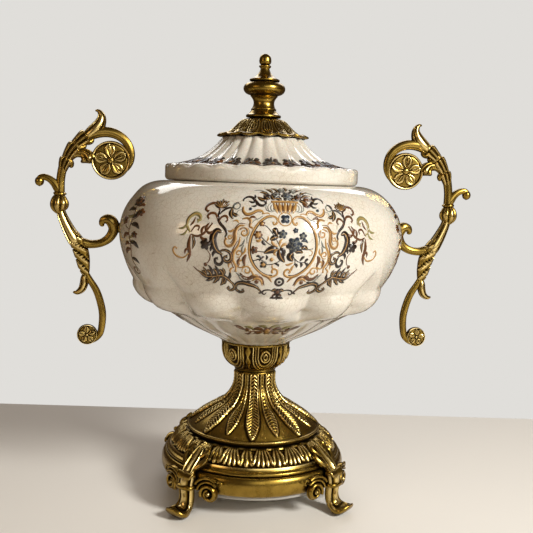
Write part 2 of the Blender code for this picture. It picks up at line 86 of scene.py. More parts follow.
BOWL_RADIUS = 129 * MM
MOUTH_RADIUS = 86.2 * MM
OPENING_RADIUS = 79 * MM
LEDGE_RADIUS = 99 * MM
BOWL_FOOT_RADIUS = 33.5 * MM
LID_RADIUS = 86.4 * MM
LID_CROWN_RADIUS = 36 * MM
SKIRT_RADIUS = 41.5 * MM
BULB_RADIUS = 18.7 * MM
BALL_RADIUS = 5.3 * MM
COLLAR_RADIUS = 32 * MM
NECK_RADIUS = 18.4 * MM
DISC_RADIUS = 61.5 * MM
SHELF_RADIUS = 76 * MM
PLINTH_RADIUS = 84 * MM
PAD_RADIUS = 79 * MM

LOBES = 6                       # broad lobes of the bowl
GADROONS = 12                   # bulges under its belly
FLUTES = 24                     # of the lid, and of the bowl's cone
SCALLOPS = 14                   # of the skirt
EYES = 6                        # of the collar, each in its arcs
FEATHERS = 8                    # long feathers of the stem; there are as many short ones
FANS = 16                       # of blades on the plinth
SLICES = 12                     # for turned pieces that are plain
GARLANDS = 12                   # equal lengths of the lid's garland

BELLY = BOWL_TOP - 46 * MM      # height of the widest place of the bowl
LEDGE = BOWL_LOW + 34.6 * MM    # height where the gadroons end above the cone
CONE_TOP = (LEDGE_RADIUS - 7 * MM, LEDGE - 4 * MM)
LID_RIM = LID_SEAT + 13.5 * MM  # top of the lid's upright rim
BOWL_WALL = 6 * MM
LID_WALL = 5 * MM
LID_FIT = 0.8 * MM

HANDLE_SIZE = 75 * MM
HANDLE_ROOT = Vector((125.5 * MM, 0, BELLY + 2.5 * MM))


# Outlines: lists of (radius, height) that run down the outer side

def swell(top, widest, count):
    """A quarter ellipse from a level start at top to an upright end at widest."""
    turns = [0.5 * math.pi * i / count for i in range(1, count + 1)]
    return [(top[0] + (widest[0] - top[0]) * math.sin(turn),
             widest[1] + (top[1] - widest[1]) * math.cos(turn)) for turn in turns]


def tuck(widest, end, count, power=1.8):
    """From an upright start at widest, in and down to end."""
    return [(widest[0] + (end[0] - widest[0]) * (i / count) ** power,
             widest[1] + (end[1] - widest[1]) * i / count) for i in range(1, count + 1)]


def bow(start, end, bulge, count):
    """From start to end on a curve that bulges outwards by a share of the way, or in if negative."""
    run = end[0] - start[0]
    drop = end[1] - start[1]
    points = []
    for i in range(1, count + 1):
        t = i / count
        push = 4 * bulge * t * (1 - t)
        points.append((start[0] + run * t - drop * push, start[1] + drop * t + run * push))
    return points


def bead(radius, top, bottom, depth, count):
    """Half round moulding that stands out to radius between two heights."""
    middle = 0.5 * (top + bottom)
    half = 0.5 * (top - bottom)
    turns = [math.pi * i / count for i in range(count + 1)]
    return [(radius - depth * (1 - math.sin(turn)), middle + half * math.cos(turn)) for turn in turns]


def contour(*steps):
    """An outline from points and from curves as (function, its numbers).

    A curve starts at the last point, apart from a bead, which has its own place.
    """
    points = []
    for step in steps:
        if not callable(step[0]):
            points.append(step)
        elif step[0] is bead:
            points += bead(*step[1:])
        else:
            points += step[0](points[-1], *step[1:])
    return points


def refine(outline, step):
    """Add points so that no two are further apart than step, but none on a flat that meets the axis."""
    points = [outline[0]]
    for start, end in zip(outline, outline[1:]):
        flat = min(start[0], end[0]) < MERGE
        count = 1 if flat else max(1, math.ceil(math.dist(start, end) / step))
        points += [(start[0] + (end[0] - start[0]) * i / count,
                    start[1] + (end[1] - start[1]) * i / count) for i in range(1, count + 1)]
    return points


# Shaping: fields over a surface

def fade(value, start, end):
    """0 at start, 1 at end, with a smooth change between."""
    t = np.clip((value - start) / (end - start), 0.0, 1.0)
    return t * t * (3 - 2 * t)


def crest(angle, count, soft=0.0):
    """1 along the crest of each of count lobes, 0 in the creases, which soft makes rounder."""
    wave = np.abs(np.cos(0.5 * count * angle))
    return (np.sqrt(wave ** 2 + soft ** 2) - soft) / (math.sqrt(1 + soft ** 2) - soft)


def ridge(distance, width):
    """A round ridge on a line: 1 on the line, 0 from width on."""
    return np.clip(1 - (distance / width) ** 2, 0.0, 1.0)


def inside(distance, edge):
    """1 inside a shape, 0 outside, from a signed distance that is negative inside."""
    return 1 - fade(distance, -edge, edge)


def around(radius, angle, height):
    """Points at an angle round the urn."""
    return np.stack([radius * np.sin(angle), -radius * np.cos(angle), height], axis=-1)


def distances(line):
    """How far it is to each point of a line from its start."""
    return np.concatenate([[0], np.cumsum(np.linalg.norm(np.diff(line, axis=0), axis=1))])


# Meshes

def new_object(name, mesh):
    """An object for a mesh, in the scene's collection."""
    thing = bpy.data.objects.new(name, mesh)
    bpy.context.scene.collection.objects.link(thing)
    return thing


def mesh_of(name, points, faces):
    """A smooth mesh from points and faces."""
    mesh = bpy.data.meshes.new(name)
    mesh.from_pydata([tuple(point) for point in points], [], [tuple(face) for face in faces])
    mesh.shade_smooth()
    return mesh


def note(mesh, name, values):
    """Store one number a point on a mesh."""
    layer = mesh.attributes.new(name, "FLOAT", "POINT")
    layer.data.foreach_set("value", np.asarray(values, dtype=np.float32))


def settle(thing):
    """Turn an object with modifiers into a plain mesh at the origin, under the same name."""
    bpy.context.view_layer.update()
    graph = bpy.context.evaluated_depsgraph_get()
    mesh = bpy.data.meshes.new_from_object(thing.evaluated_get(graph))
    mesh.transform(thing.matrix_world)
    name = thing.name
    bpy.data.objects.remove(thing)
    mesh.name = name
    return new_object(name, mesh)


def hollows(depth, reach=5, scale=0.4 * MM):
    """Where a relief lies under what is round it: 1 in a crease, 0.5 on level ground, 0 on a ridge."""
    level = depth
    for _ in range(reach):
        level = (level + np.roll(level, 1, axis=1) + np.roll(level, -1, axis=1)) / 3
        held = np.pad(level, ((1, 1), (0, 0)), mode="edge")
        level = (held[:-2] + held[1:-1] + held[2:]) / 3
    return np.clip(0.5 + 0.5 * (level - depth) / scale, 0, 1)


def sector(name, outline, count, columns, shape=None, relief=None, tarnish=0.0):
    """One of count equal slices of a turned piece, about the front.

    shape(angle, radius, height) gives an outward and an upward move. relief(side, way, radius,
    height) gives a depth along the surface; side runs from -1 to 1 across the slice and way is
    the length along the outline. What hollows says of it is kept as the attribute hollow, with
    tarnish added: painted shade that darkens the whole piece's brass, or lightens it if negative.
    """
    profile = np.array(outline, dtype=float)
    radius, height = np.split(profile, 2, axis=1)
    way = distances(profile)[:, None]
    slope_out, slope_up = np.split(np.gradient(profile, axis=0), 2, axis=1)
    length = np.hypot(slope_out, slope_up)
    side = np.linspace(-1, 1, columns + 1)[None, :]
    angle = side * math.pi / count
    level = np.zeros((len(profile), columns + 1))
    out, up = shape(angle, radius, height) if shape else (0, 0)
    depth = level + (relief(side, way, radius, height) if relief else 0)
    out = level + out - depth * slope_up / length
    up = level + up + depth * slope_out / length
    # tarnish moves a whole piece towards the dark brass: painted shade for pieces that sit in the bowl's
    # shadow; below zero it lightens a piece.
    hollow = np.clip((hollows(depth) if relief else 0.5 + level) + tarnish, 0, 1)
    spread = np.where(radius > MERGE, radius + out, 0)
    tall = height + np.where(radius > MERGE, up, 0)
    points = around(spread, angle, tall).reshape(-1, 3)
    row = columns + 1
    faces = []
    for i in range(len(profile) - 1):
        for j in range(columns):
            a, b = i * row + j, (i + 1) * row + j
            if profile[i, 0] <= MERGE:
                faces.append((a, b, b + 1))
            elif profile[i + 1, 0] <= MERGE:
                faces.append((a, b, a + 1))
            else:
                faces.append((a, b, b + 1, a + 1))
    mesh = mesh_of(name, points, faces)
    note(mesh, "hollow", hollow.ravel())
    return new_object(name, mesh)


def ring_tree():
    """Geometry nodes that repeat a slice round the Z axis and weld the slices together."""
    found = bpy.data.node_groups.get("Ring of Slices")
    if found:
        return found
    tree = bpy.data.node_groups.new("Ring of Slices", "GeometryNodeTree")
    face = tree.interface
    for name, kind in (("Geometry", "Geometry"), ("Count", "Int"), ("Turn", "Float"), ("Weld", "Float"),
                       ("Finish", "Material")):
        face.new_socket(name, in_out="INPUT", socket_type="NodeSocket" + kind)
    face.new_socket("Geometry", in_out="OUTPUT", socket_type="NodeSocketGeometry")
    given = tree.nodes.new("NodeGroupInput").outputs
    points = add_node(tree, "GeometryNodePoints", {"Count": given["Count"]})
    pitch = calculate(tree, "DIVIDE", 2 * math.pi, given["Count"])
    angle = calculate(tree, "MULTIPLY_ADD", add_node(tree, "GeometryNodeInputIndex"), pitch, given["Turn"])
    turn = add_node(tree, "FunctionNodeAxisAngleToRotation", {"Axis": (0, 0, 1), "Angle": angle})
    copies = add_node(tree, "GeometryNodeInstanceOnPoints",
                      {"Points": points, "Instance": given["Geometry"], "Rotation": turn})
    real = add_node(tree, "GeometryNodeRealizeInstances", {0: copies})
    weld = add_node(tree, "GeometryNodeMergeByDistance", {"Geometry": real, "Distance": given["Weld"]})
    finish = add_node(tree, "GeometryNodeSetMaterial", {"Geometry": weld, "Material": given["Finish"]})
    add_node(tree, "NodeGroupOutput", {0: finish})
    return tree


def ring(thing, count, finish, turn):
    """Repeat a slice count times round the urn and make the result a plain mesh."""
    tree = ring_tree()
    change = thing.modifiers.new("Ring", "NODES")
    change.node_group = tree
    given = {"Count": count, "Turn": turn, "Weld": MERGE, "Finish": finish}
    for item in tree.interface.items_tree:
        if item.name in given:
            change[item.identifier] = given[item.name]
    return settle(thing)


def crisp(thing, angle):
    """Smooth shading with sharp edges above an angle in degrees."""
    thing.data.shade_smooth()
    thing.data.set_sharp_from_angle(angle=math.radians(angle))
    return thing


def place(thing, slot, *nodes):
    """Hang a finished piece under the root body and hide the pieces of the frame it stands for; slot is not
    used.
    """
    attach(thing, "root")
    if nodes:
        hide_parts(*nodes)


def turned(node, name, slot, finish, sharp, outline, count, columns, turn=0.0, **form):
    """Make a piece from count slices, crease it above the angle sharp, and put it in its node's place."""
    slice_of = sector(name, outline, count, columns, **form)
    place(crisp(ring(slice_of, count, finish, turn), sharp), slot, node)


# Materials

def rgb(colour):
    """An sRGB hex colour as linear red, green, blue and alpha."""
    parts = [int(colour[i:i + 2], 16) / 255 for i in (1, 3, 5)]
    return (*[part / 12.92 if part <= 0.04045 else ((part + 0.055) / 1.055) ** 2.4 for part in parts], 1.0)


def add_node(tree, kind, inputs=None, **settings):
    """A node with its settings. An input gets a constant, or the node or socket that it is joined to."""
    made = tree.nodes.new(kind)
    for name, value in settings.items():
        setattr(made, name, value)
    for name, value in (inputs or {}).items():
        if isinstance(value, bpy.types.Node):
            value = value.outputs[0]
        if isinstance(value, bpy.types.NodeSocket):
            tree.links.new(value, made.inputs[name])
        else:
            made.inputs[name].default_value = value
    return made


def calculate(tree, operation, *terms, clamp=False):
    """A sum with its terms in order."""
    return add_node(tree, "ShaderNodeMath", dict(enumerate(terms)), operation=operation, use_clamp=clamp)


def noise(tree, size, detail, rough=0.5):
    """Cloudy noise on Object coordinates, with clouds size metres across."""
    place_in = add_node(tree, "ShaderNodeTexCoord").outputs["Object"]
    return add_node(tree, "ShaderNodeTexNoise",
                    {"Vector": place_in, "Scale": 1 / size, "Detail": detail, "Roughness": rough})


def blend(tree, share, low, high):
    """A colour between low and high."""
    return add_node(tree, "ShaderNodeMix", {"Factor": share, 6: low, 7: high}, data_type="RGBA").outputs[2]


def remap(tree, value, start, end):
    """0 where a value is at start, 1 where it is at end, smooth between."""
    return add_node(tree, "ShaderNodeMapRange", {"Value": value, "From Min": start, "From Max": end},
                    interpolation_type="SMOOTHSTEP")


def bump(tree, height, strength, depth):
    """Small unevenness of a surface, from a height between 0 and 1."""
    return add_node(tree, "ShaderNodeBump", {"Height": height, "Strength": strength, "Distance": depth})


def blank(name):
    """A material with only its output, and the tree to fill."""
    finish = bpy.data.materials.new(name)
    finish.use_nodes = True
    finish.node_tree.nodes.clear()
    return finish, finish.node_tree


def close_up(finish, tree, inputs):
    """Give the material its shader, with these inputs."""
    add_node(tree, "ShaderNodeOutputMaterial", {0: add_node(tree, "ShaderNodeBsdfPrincipled", inputs)})
    return finish


def glaze_material(settings):
    """Porcelain under a cream crackle glaze: glassy, warm, with fine brown crackle lines."""
    finish, tree = blank("crackled_porcelain_glaze")
    place_in = add_node(tree, "ShaderNodeTexCoord").outputs["Object"]
    warp = noise(tree, 9 * MM, 2).outputs["Color"]
    bent = add_node(tree, "ShaderNodeVectorMath", {0: warp, 1: (1.4 * MM,) * 3, 2: place_in},
                    operation="MULTIPLY_ADD")
    lines = []
    for size, width, depth in ((settings.crackle, 0.036, 0.42), (0.5 * settings.crackle, 0.040, 0.30)):
        cells = add_node(tree, "ShaderNodeTexVoronoi", {"Vector": bent, "Scale": 1 / size},
                         feature="DISTANCE_TO_EDGE")
        lines.append(calculate(tree, "MULTIPLY", remap(tree, cells, width, 0), depth))
    patchy = noise(tree, 28 * MM, 3)
    uneven = calculate(tree, "MULTIPLY", calculate(tree, "MAXIMUM", *lines), patchy)
    body = blend(tree, patchy, rgb(settings.cream), rgb(settings.warm))
    colour = blend(tree, calculate(tree, "MULTIPLY", uneven, 2.1), body, rgb(settings.crackle_ink))
    ripple = bump(tree, noise(tree, 22 * MM, 1), 0.25, 0.5 * MM)
    return close_up(finish, tree, {
        "Base Color": colour, "Normal": ripple, "Roughness": 0.12, "IOR": 1.5, "Coat Weight": 0.8,
        "Coat Roughness": 0.05, "Coat IOR": 1.5, "Subsurface Weight": 0.06, "Subsurface Scale": 1.5 * MM})


def brass_material(settings):
    """Cast brass, darkened and rubbed back: bright on the ridges, old gold between, brown in the creases,
    and browner all over where painted shade is added to a whole piece.
    """
    finish, tree = blank("antique_cast_brass")
    # hollow holds how deep the relief lies, where the patina gathers, plus the painted shade added to whole
    # pieces that sit in shadow, such as the collar and stem.
    creases_and_shade = add_node(tree, "ShaderNodeAttribute", attribute_name="hollow").outputs["Fac"]
    nooks = add_node(tree, "ShaderNodeAmbientOcclusion", {"Distance": 5 * MM}, samples=6).outputs["AO"]
    clouds = noise(tree, 7 * MM, 4, 0.6)
    dark = calculate(tree, "MAXIMUM", remap(tree, creases_and_shade, 0.52, 0.92), remap(tree, nooks, 0.88, 0.35))
    broken = calculate(tree, "MULTIPLY_ADD", clouds, 0.5, -0.2, clamp=True)
    patina_and_shade = calculate(tree, "ADD", dark, broken, clamp=True)
    old = blend(tree, clouds, rgb(settings.gold), rgb(settings.gold_worn))
    gold = blend(tree, remap(tree, creases_and_shade, 0.46, 0.15), old, rgb(settings.gold_rubbed))
    colour = blend(tree, patina_and_shade, gold, rgb(settings.patina_and_shade))
    rough = add_node(tree, "ShaderNodeMapRange",
                     {"Value": patina_and_shade, "To Min": settings.polish, "To Max": settings.polish + 0.25})
    skin = bump(tree, noise(tree, 0.9 * MM, 2), 0.12, 0.1 * MM)
    return close_up(finish, tree, {"Base Color": colour, "Metallic": 1.0, "Roughness": rough,
                                   "Normal": skin})


def ink_material(name, colour, thin):
    """Printed enamel fired into the glaze: matt colour under the same glassy coat."""
    finish, tree = blank(name)
    tone = blend(tree, noise(tree, 2.5 * MM, 3), rgb(colour), rgb(thin))
    return close_up(finish, tree, {"Base Color": tone, "Roughness": 0.35, "Coat Weight": 0.3,
                                   "Coat Roughness": 0.05})


def felt_material():
    """Pressed grey felt: matt, with a short uneven nap."""
    finish, tree = blank("pressed_felt")
    nap = noise(tree, 0.8 * MM, 4)
    tone = blend(tree, nap, rgb("#8C8983"), rgb("#B9B6AE"))
    fuzz = bump(tree, nap, 0.5, 0.3 * MM)
    return close_up(finish, tree, {"Base Color": tone, "Normal": fuzz, "Roughness": 0.9,
                                   "Sheen Weight": 0.3})


def shared(name, make, *inputs):
    """The material of that name, made on first use."""
    return bpy.data.materials.get(name) or make(*inputs)


def glaze():
    """The porcelain's glaze with the scene's settings."""
    return shared("crackled_porcelain_glaze", glaze_material, bpy.context.scene.urn_glaze)


def brass():
    """The brass with the scene's settings."""
    return shared("antique_cast_brass", brass_material, bpy.context.scene.urn_brass)


# Bowl

def bowl_radius(height):
    """Radius of the bowl's round outline at a height between the ledge and the mouth."""
    up = np.clip((height - BELLY) / (BOWL_TOP - BELLY), 0.0, 1.0)
    down = np.clip((BELLY - height) / (BELLY - LEDGE - 3 * MM), 0.0, 1.0)
    upper = MOUTH_RADIUS + (BOWL_RADIUS - MOUTH_RADIUS) * np.sqrt(1 - up ** 2)
    lower = BOWL_RADIUS + (LEDGE_RADIUS + 2 * MM - BOWL_RADIUS) * down ** 1.8
    return np.where(height >= BELLY, upper, lower)


def bowl_shape(angle, height):
    """Six broad lobes, twelve gadroons under the belly with arched tops, and a fluted cone."""
    sizes = bpy.context.scene.urn_bowl
    lobes = 1 - crest(angle, LOBES, 0.22)
    swollen = crest(angle, GADROONS, 0.06)
    gadroon = 1 - swollen
    arch = 15 * MM * gadroon
    belly = fade(height, LEDGE + 8 * MM, BELLY - 16 * MM) * fade(BOWL_TOP - height, 0, 16 * MM)
    low_belly = 1 - fade(height, LEDGE + 6 * MM + arch, LEDGE + 27 * MM + arch)
    low_belly = low_belly * fade(height, LEDGE - 5 * MM, LEDGE)
    cone = (1 - fade(height, LEDGE - 7 * MM, LEDGE - 2 * MM)) * fade(height, BOWL_LOW, BOWL_LOW + 5 * MM)
    puff = ridge(height - LEDGE - 7 * MM, 13 * MM) * fade(height, LEDGE - 3 * MM, LEDGE + 4 * MM)
    under = fade(LEDGE - height, 1.5 * MM, 4 * MM) * (1 - fade(LEDGE - height, 7 * MM, 22 * MM))
    out = -sizes.lobe_depth * belly * lobes
    out = out - sizes.gadroon_depth * low_belly * gadroon + 5.4 * MM * puff * swollen ** 0.9
    out = out - 1.8 * MM * cone * (1 - crest(angle, FLUTES, 0.12)) - 3.2 * MM * under
    hang = ridge(height - LEDGE, 9 * MM) * fade(height, LEDGE - 5 * MM, LEDGE - 1 * MM)
    return out - 0.35 * MM, -3.8 * MM * hang * (swollen ** 0.7 - 0.9)


def bowl_point(angle, height, lift=0.0):
    """A point on the bowl's outside between ledge and mouth, lifted along the surface's normal."""
    out, up = bowl_shape(angle, height)
    step = 0.2 * MM
    top = np.minimum(height + step, BOWL_TOP)
    above = bowl_radius(top) + bowl_shape(angle, top)[0]
    below = bowl_radius(height - step) + bowl_shape(angle, height - step)[0]
    slope = (above - below) / (top - height + step)
    norm = np.sqrt(1 + slope ** 2)
    return around(bowl_radius(height) + out + lift / norm, angle, height + up - lift * slope / norm)


def cone_line():
    """The outline of the bowl's cone, from under the ledge down to the foot."""
    return bow(CONE_TOP, (BOWL_FOOT_RADIUS + 3 * MM, BOWL_LOW + 2 * MM), 0.012, 20)


def bowl_outline():
    """The bowl from the bottom of its hollow, up the inside, over the lip and down the outside."""
    inner_belly = BOWL_RADIUS - 3.5 * MM - BOWL_WALL
    inner_ledge = (LEDGE_RADIUS - 4.5 * MM - BOWL_WALL, LEDGE + 0.3 * BOWL_WALL)
    hollow = contour(
        (OPENING_RADIUS, BOWL_TOP - 0.6 * MM), (OPENING_RADIUS, BOWL_TOP - BOWL_WALL),
        (swell, (inner_belly, BELLY), 12), (tuck, inner_ledge, 8),
        (BOWL_FOOT_RADIUS, BOWL_LOW + 1.6 * BOWL_WALL), (0, BOWL_LOW + 1.4 * BOWL_WALL))
    outside = contour(
        (OPENING_RADIUS + 0.6 * MM, BOWL_TOP), (MOUTH_RADIUS, BOWL_TOP), (swell, (BOWL_RADIUS, BELLY), 34),
        (tuck, (LEDGE_RADIUS + 2 * MM, LEDGE + 3 * MM), 34), (LEDGE_RADIUS + 1.6 * MM, LEDGE + 1 * MM),
        (LEDGE_RADIUS - 0.5 * MM, LEDGE - 1 * MM), (LEDGE_RADIUS - 3 * MM, LEDGE - 2.6 * MM), CONE_TOP)
    return hollow[::-1] + outside + cone_line() + [(BOWL_FOOT_RADIUS, BOWL_LOW), (0, BOWL_LOW)]


def shape_outside(angle, radius, height):
    """The bowl's lobes on its outside; the hollow inside stays round."""
    out, up = bowl_shape(angle, height)
    outer = np.where(height > LEDGE + 2 * MM, bowl_radius(height) - 1.2 * MM,
                     BOWL_FOOT_RADIUS + (height - BOWL_LOW) * 1.2)
    return out * (radius > outer), up * (radius > outer)


def make_bowl():
    """The lobed bowl, hollow, with a true wall."""
    turned("bowl", "bowl_body", "cream_glaze", glaze(), 50, bowl_outline(), LOBES, 88, shape=shape_outside)


# Lid

def lid_shape(angle, radius, height):
    """Flutes that run down the trumpet and make the rim's top edge wavy."""
    above = fade(height, LID_RIM - 4.5 * MM, LID_RIM + 1.5 * MM)
    crease = 2.0 * MM * above * (1 - crest(angle, FLUTES, 0.10))
    slope = fade(radius, LID_CROWN_RADIUS, 0.8 * LID_RADIUS)
    rim = fade(radius, LID_RADIUS - 5 * MM, LID_RADIUS - 1 * MM)
    face = 0.6 * crease * rim * (height < LID_RIM + 0.5 * MM)
    return -crease * (1 - slope) - face, -crease * np.maximum(slope * (1 - rim), 1.0 * rim)


def lid_point(angle, radius, lift):
    """A point on the lid's fluted slope, lifted along the slope's normal."""
    crown = np.array([(LID_CROWN_RADIUS, LID_TOP)] + lid_crown())
    height = np.interp(radius, crown[:, 0], crown[:, 1])
    slope = np.interp(radius, crown[:, 0], np.gradient(crown[:, 1], crown[:, 0]))
    out, up = lid_shape(angle, radius, height)
    norm = np.sqrt(1 + slope ** 2)
    return around(radius + out - lift * slope / norm, angle, height + up + lift / norm)


def lid_crown():
    """The outline of the fluted trumpet, from the crown down to the rim."""
    return bow((LID_CROWN_RADIUS, LID_TOP), (LID_RADIUS - 4 * MM, LID_RIM + 1.2 * MM), -0.12, 40)


def lid_outline():
    """The lid from the top over the crown, down the side, round the flange and up its hollow."""
    flange = OPENING_RADIUS - LID_FIT
    inner = flange - LID_WALL
    roof = (LID_CROWN_RADIUS - LID_WALL, LID_TOP - 1.2 * LID_WALL)
    top = [(0, LID_TOP), (LID_CROWN_RADIUS, LID_TOP)] + lid_crown()
    side = [(LID_RADIUS, LID_RIM - 1.2 * MM), (LID_RADIUS, LID_SEAT + 3 * MM)]
    rim = bow(top[-1], side[0], 0.2, 6) + refine(side, 2 * MM)[1:]
    rim += bow(side[1], (LID_RADIUS - 3 * MM, LID_SEAT), 0.15, 4)
    under = [(flange, LID_SEAT), (flange, LID_LOW + 0.5 * MM),
             (flange - 0.5 * MM, LID_LOW), (inner, LID_LOW)]
    hollow = bow(roof, (inner, LID_RIM - LID_WALL), -0.12, 12)[::-1] + [roof, (0, roof[1])]
    return top + rim + under + hollow


def make_lid():
    """The fluted lid, hollow, with its flange."""
    def shape(angle, radius, height):
        out, up = lid_shape(angle, radius, height)
        roof = LID_TOP - (radius - LID_CROWN_RADIUS) * 0.9
        outer = (height > LID_RIM - 3 * MM) & (radius > LID_CROWN_RADIUS - 1 * MM) & (height > roof - 9 * MM)
        return out * outer, up * outer

    turned("lid", "lid_body", "cream_glaze", glaze(), 50, lid_outline(), FLUTES, 16, shape=shape)


# Turned and cast brass

def make_finial():
    """The turned finial: ring, waist, bulb, cap, collared neck and ball, polished."""
    low, high = FINIAL_LOW, FINIAL_TOP
    tall = high - low
    ball = high - BALL_RADIUS
    bulb = low + 0.46 * tall
    cap = low + 0.58 * tall
    neck = 0.2 * BULB_RADIUS
    foot = 0.84 * BULB_RADIUS
    below_ball = ball - 0.93 * BALL_RADIUS
    outline = contour((0, high), (swell, (BALL_RADIUS, ball), 12), (bow, (0.8 * neck, below_ball), 0.2, 10))
    outline += contour((bead, 0.29 * BULB_RADIUS, below_ball, ball - 1.32 * BALL_RADIUS, 0.9 * MM, 6))
    outline += bow((neck, ball - 1.36 * BALL_RADIUS), (0.69 * BULB_RADIUS, cap + 1.5 * MM), -0.14, 18)
    outline += contour(
        (bead, 0.72 * BULB_RADIUS, cap + 1.5 * MM, cap - 0.2 * MM, 0.6 * MM, 6),
        (0.57 * BULB_RADIUS, cap - 0.4 * MM), (0.57 * BULB_RADIUS, cap - 1.4 * MM),
        (bead, BULB_RADIUS, cap - 1.4 * MM, bulb - 5.5 * MM, 0.36 * BULB_RADIUS, 20),
        (0.63 * BULB_RADIUS, bulb - 5.8 * MM), (0.66 * BULB_RADIUS, bulb - 6.5 * MM),
        (bow, (0.57 * BULB_RADIUS, low + 8.8 * MM), -0.2, 16),
        (bead, 0.61 * BULB_RADIUS, low + 8.8 * MM, low + 7.4 * MM, 0.6 * MM, 5))
    outline += bow((0.60 * BULB_RADIUS, low + 7.2 * MM), (foot, low + 3 * MM), -0.1, 8)
    outline += contour((bead, foot, low + 3 * MM, low + 1.0 * MM, 0.7 * MM, 6),
                       (0.62 * BULB_RADIUS, low + 0.6 * MM), (0.62 * BULB_RADIUS, low), (0, low))
    turned("finial", "finial_turning", "cast_brass", brass(), 32, refine(outline, 0.8 * MM), SLICES, 8)


def make_skirt():
    """The cast skirt: leaf loops, one inside another, over a curled and scalloped rim."""
    low, high = SKIRT_LOW, SKIRT_TOP
    tall = high - low
    rim = low + 2.6 * MM
    shoulder = (0.55 * SKIRT_RADIUS, low + 0.76 * tall)
    waist = (0.8 * SKIRT_RADIUS, low + 0.22 * tall)
    start = 0.32 * SKIRT_RADIUS
    outline = contour(
        (0, high), (start, high), (bow, shoulder, 0.12, 12), (bow, waist, -0.03, 24),
        (bow, (0.92 * SKIRT_RADIUS, rim), -0.08, 8), (bead, SKIRT_RADIUS, rim, low, 0.08 * SKIRT_RADIUS, 12),
        (0.8 * SKIRT_RADIUS, low + 0.1 * MM), (0, low))
    reach = math.dist((start, high), shoulder) + math.dist(shoulder, waist)

    def shape(angle, radius, height):
        swollen = crest(angle, SCALLOPS, 0.15)
        near = fade(radius, 0.3 * SKIRT_RADIUS, SKIRT_RADIUS)
        droop = fade(radius, 0.78 * SKIRT_RADIUS, SKIRT_RADIUS) * fade(low + 7 * MM - height, 0, 5 * MM)
        return -3.0 * MM * (1 - swollen) * near, 1.6 * MM * droop * (1 - swollen)

    def relief(side, way, radius, height):
        share = (way - start) / reach
        across = side * 1.02
        ring_out = np.hypot(across / 0.82, (share - 0.60) / 0.52)
        ring_in = np.hypot(across / 0.42, (share - 0.62) / 0.33)
        loops = np.maximum(ridge(ring_out - 1, 0.24), ridge(ring_in - 1, 0.34))
        loops = np.maximum(loops, 0.8 * ridge(across, 0.12) * fade(share, 0.35, 0.5))
        loops = np.maximum(loops, 0.7 * ridge(np.abs(across) - 1, 0.16) * fade(share, 0.1, 0.3))
        ground = fade(share, 0.02, 0.12) * (1 - fade(share, 0.98, 1.12)) * (height > low + 0.5 * MM)
        return -0.95 * MM * ground * (1 - loops)

    # tarnish=-0.06 makes the whole skirt's brass a little lighter.
    turned("finial_skirt", "skirt_casting", "cast_brass", brass(), 60, refine(outline, 0.7 * MM),
           SCALLOPS, 26, shape=shape, relief=relief, tarnish=-0.06)


def make_collar():
    """The cast cup under the bowl: six eyes in nested arcs, with tongues between them."""
    low, high = COLLAR_LOW, COLLAR_TOP
    waist = (NECK_RADIUS + 0.6 * MM, low + 2 * MM)
    widest = (COLLAR_RADIUS, high - 5 * MM)
    outline = contour(
        (0, high), (COLLAR_RADIUS - 1.4 * MM, high), (COLLAR_RADIUS - 0.9 * MM, high - 0.4 * MM),
        (bow, widest, 0.08, 8), (bow, waist, 0.17, 48),
        (bead, NECK_RADIUS + 0.8 * MM, low + 2 * MM, low + 0.3 * MM, 0.8 * MM, 6),
        (NECK_RADIUS - 1 * MM, low), (0, low))

    def relief(side, way, radius, height):
        across = side * math.pi * radius / EYES
        tall = height - (low + 16.5 * MM)
        eye = np.hypot(across / (1.6 * MM), tall / (2.7 * MM))
        second = np.hypot(across / (4.2 * MM), (tall - 0.2 * MM) / (5.2 * MM))
        arcs = 0
        for half in (7.0, 9.4, 11.8):
            bend = np.hypot(across / (half * MM), np.minimum(tall - 1 * MM, 0) / ((half + 3.4) * MM))
            arcs = np.maximum(arcs, ridge((bend - 1) * half * MM, 0.85 * MM))
        lines = np.maximum(ridge((eye - 1) * 1.6 * MM, 0.75 * MM), ridge((second - 1) * 4.2 * MM, 0.85 * MM))
        lines = np.maximum(lines, arcs)
        tongue = ridge(np.abs(side) - 1, 0.13 + 0.05 * np.sin(height / (1.6 * MM)))
        lines = np.maximum(lines, 1.1 * tongue)
        band = fade(height, low + 2.4 * MM, low + 4 * MM) * fade(high - height, 1.6 * MM, 2.8 * MM)
        return -1.15 * MM * band * (1 - lines)

    def shape(angle, radius, height):
        on_cup = fade(height, low + 2 * MM, low + 9 * MM) * fade(high - height, 1 * MM, 4 * MM)
        return -1.0 * MM * on_cup * (1 - crest(angle, 2 * EYES, 0.2)), 0

    # tarnish=0.20 darkens the whole collar: painted shade where the bowl shades it.
    turned("collar", "collar_casting", "cast_brass", brass(), 60, refine(outline, 0.7 * MM), EYES, 64,
           math.radians(10), shape=shape, relief=relief, tarnish=0.20)


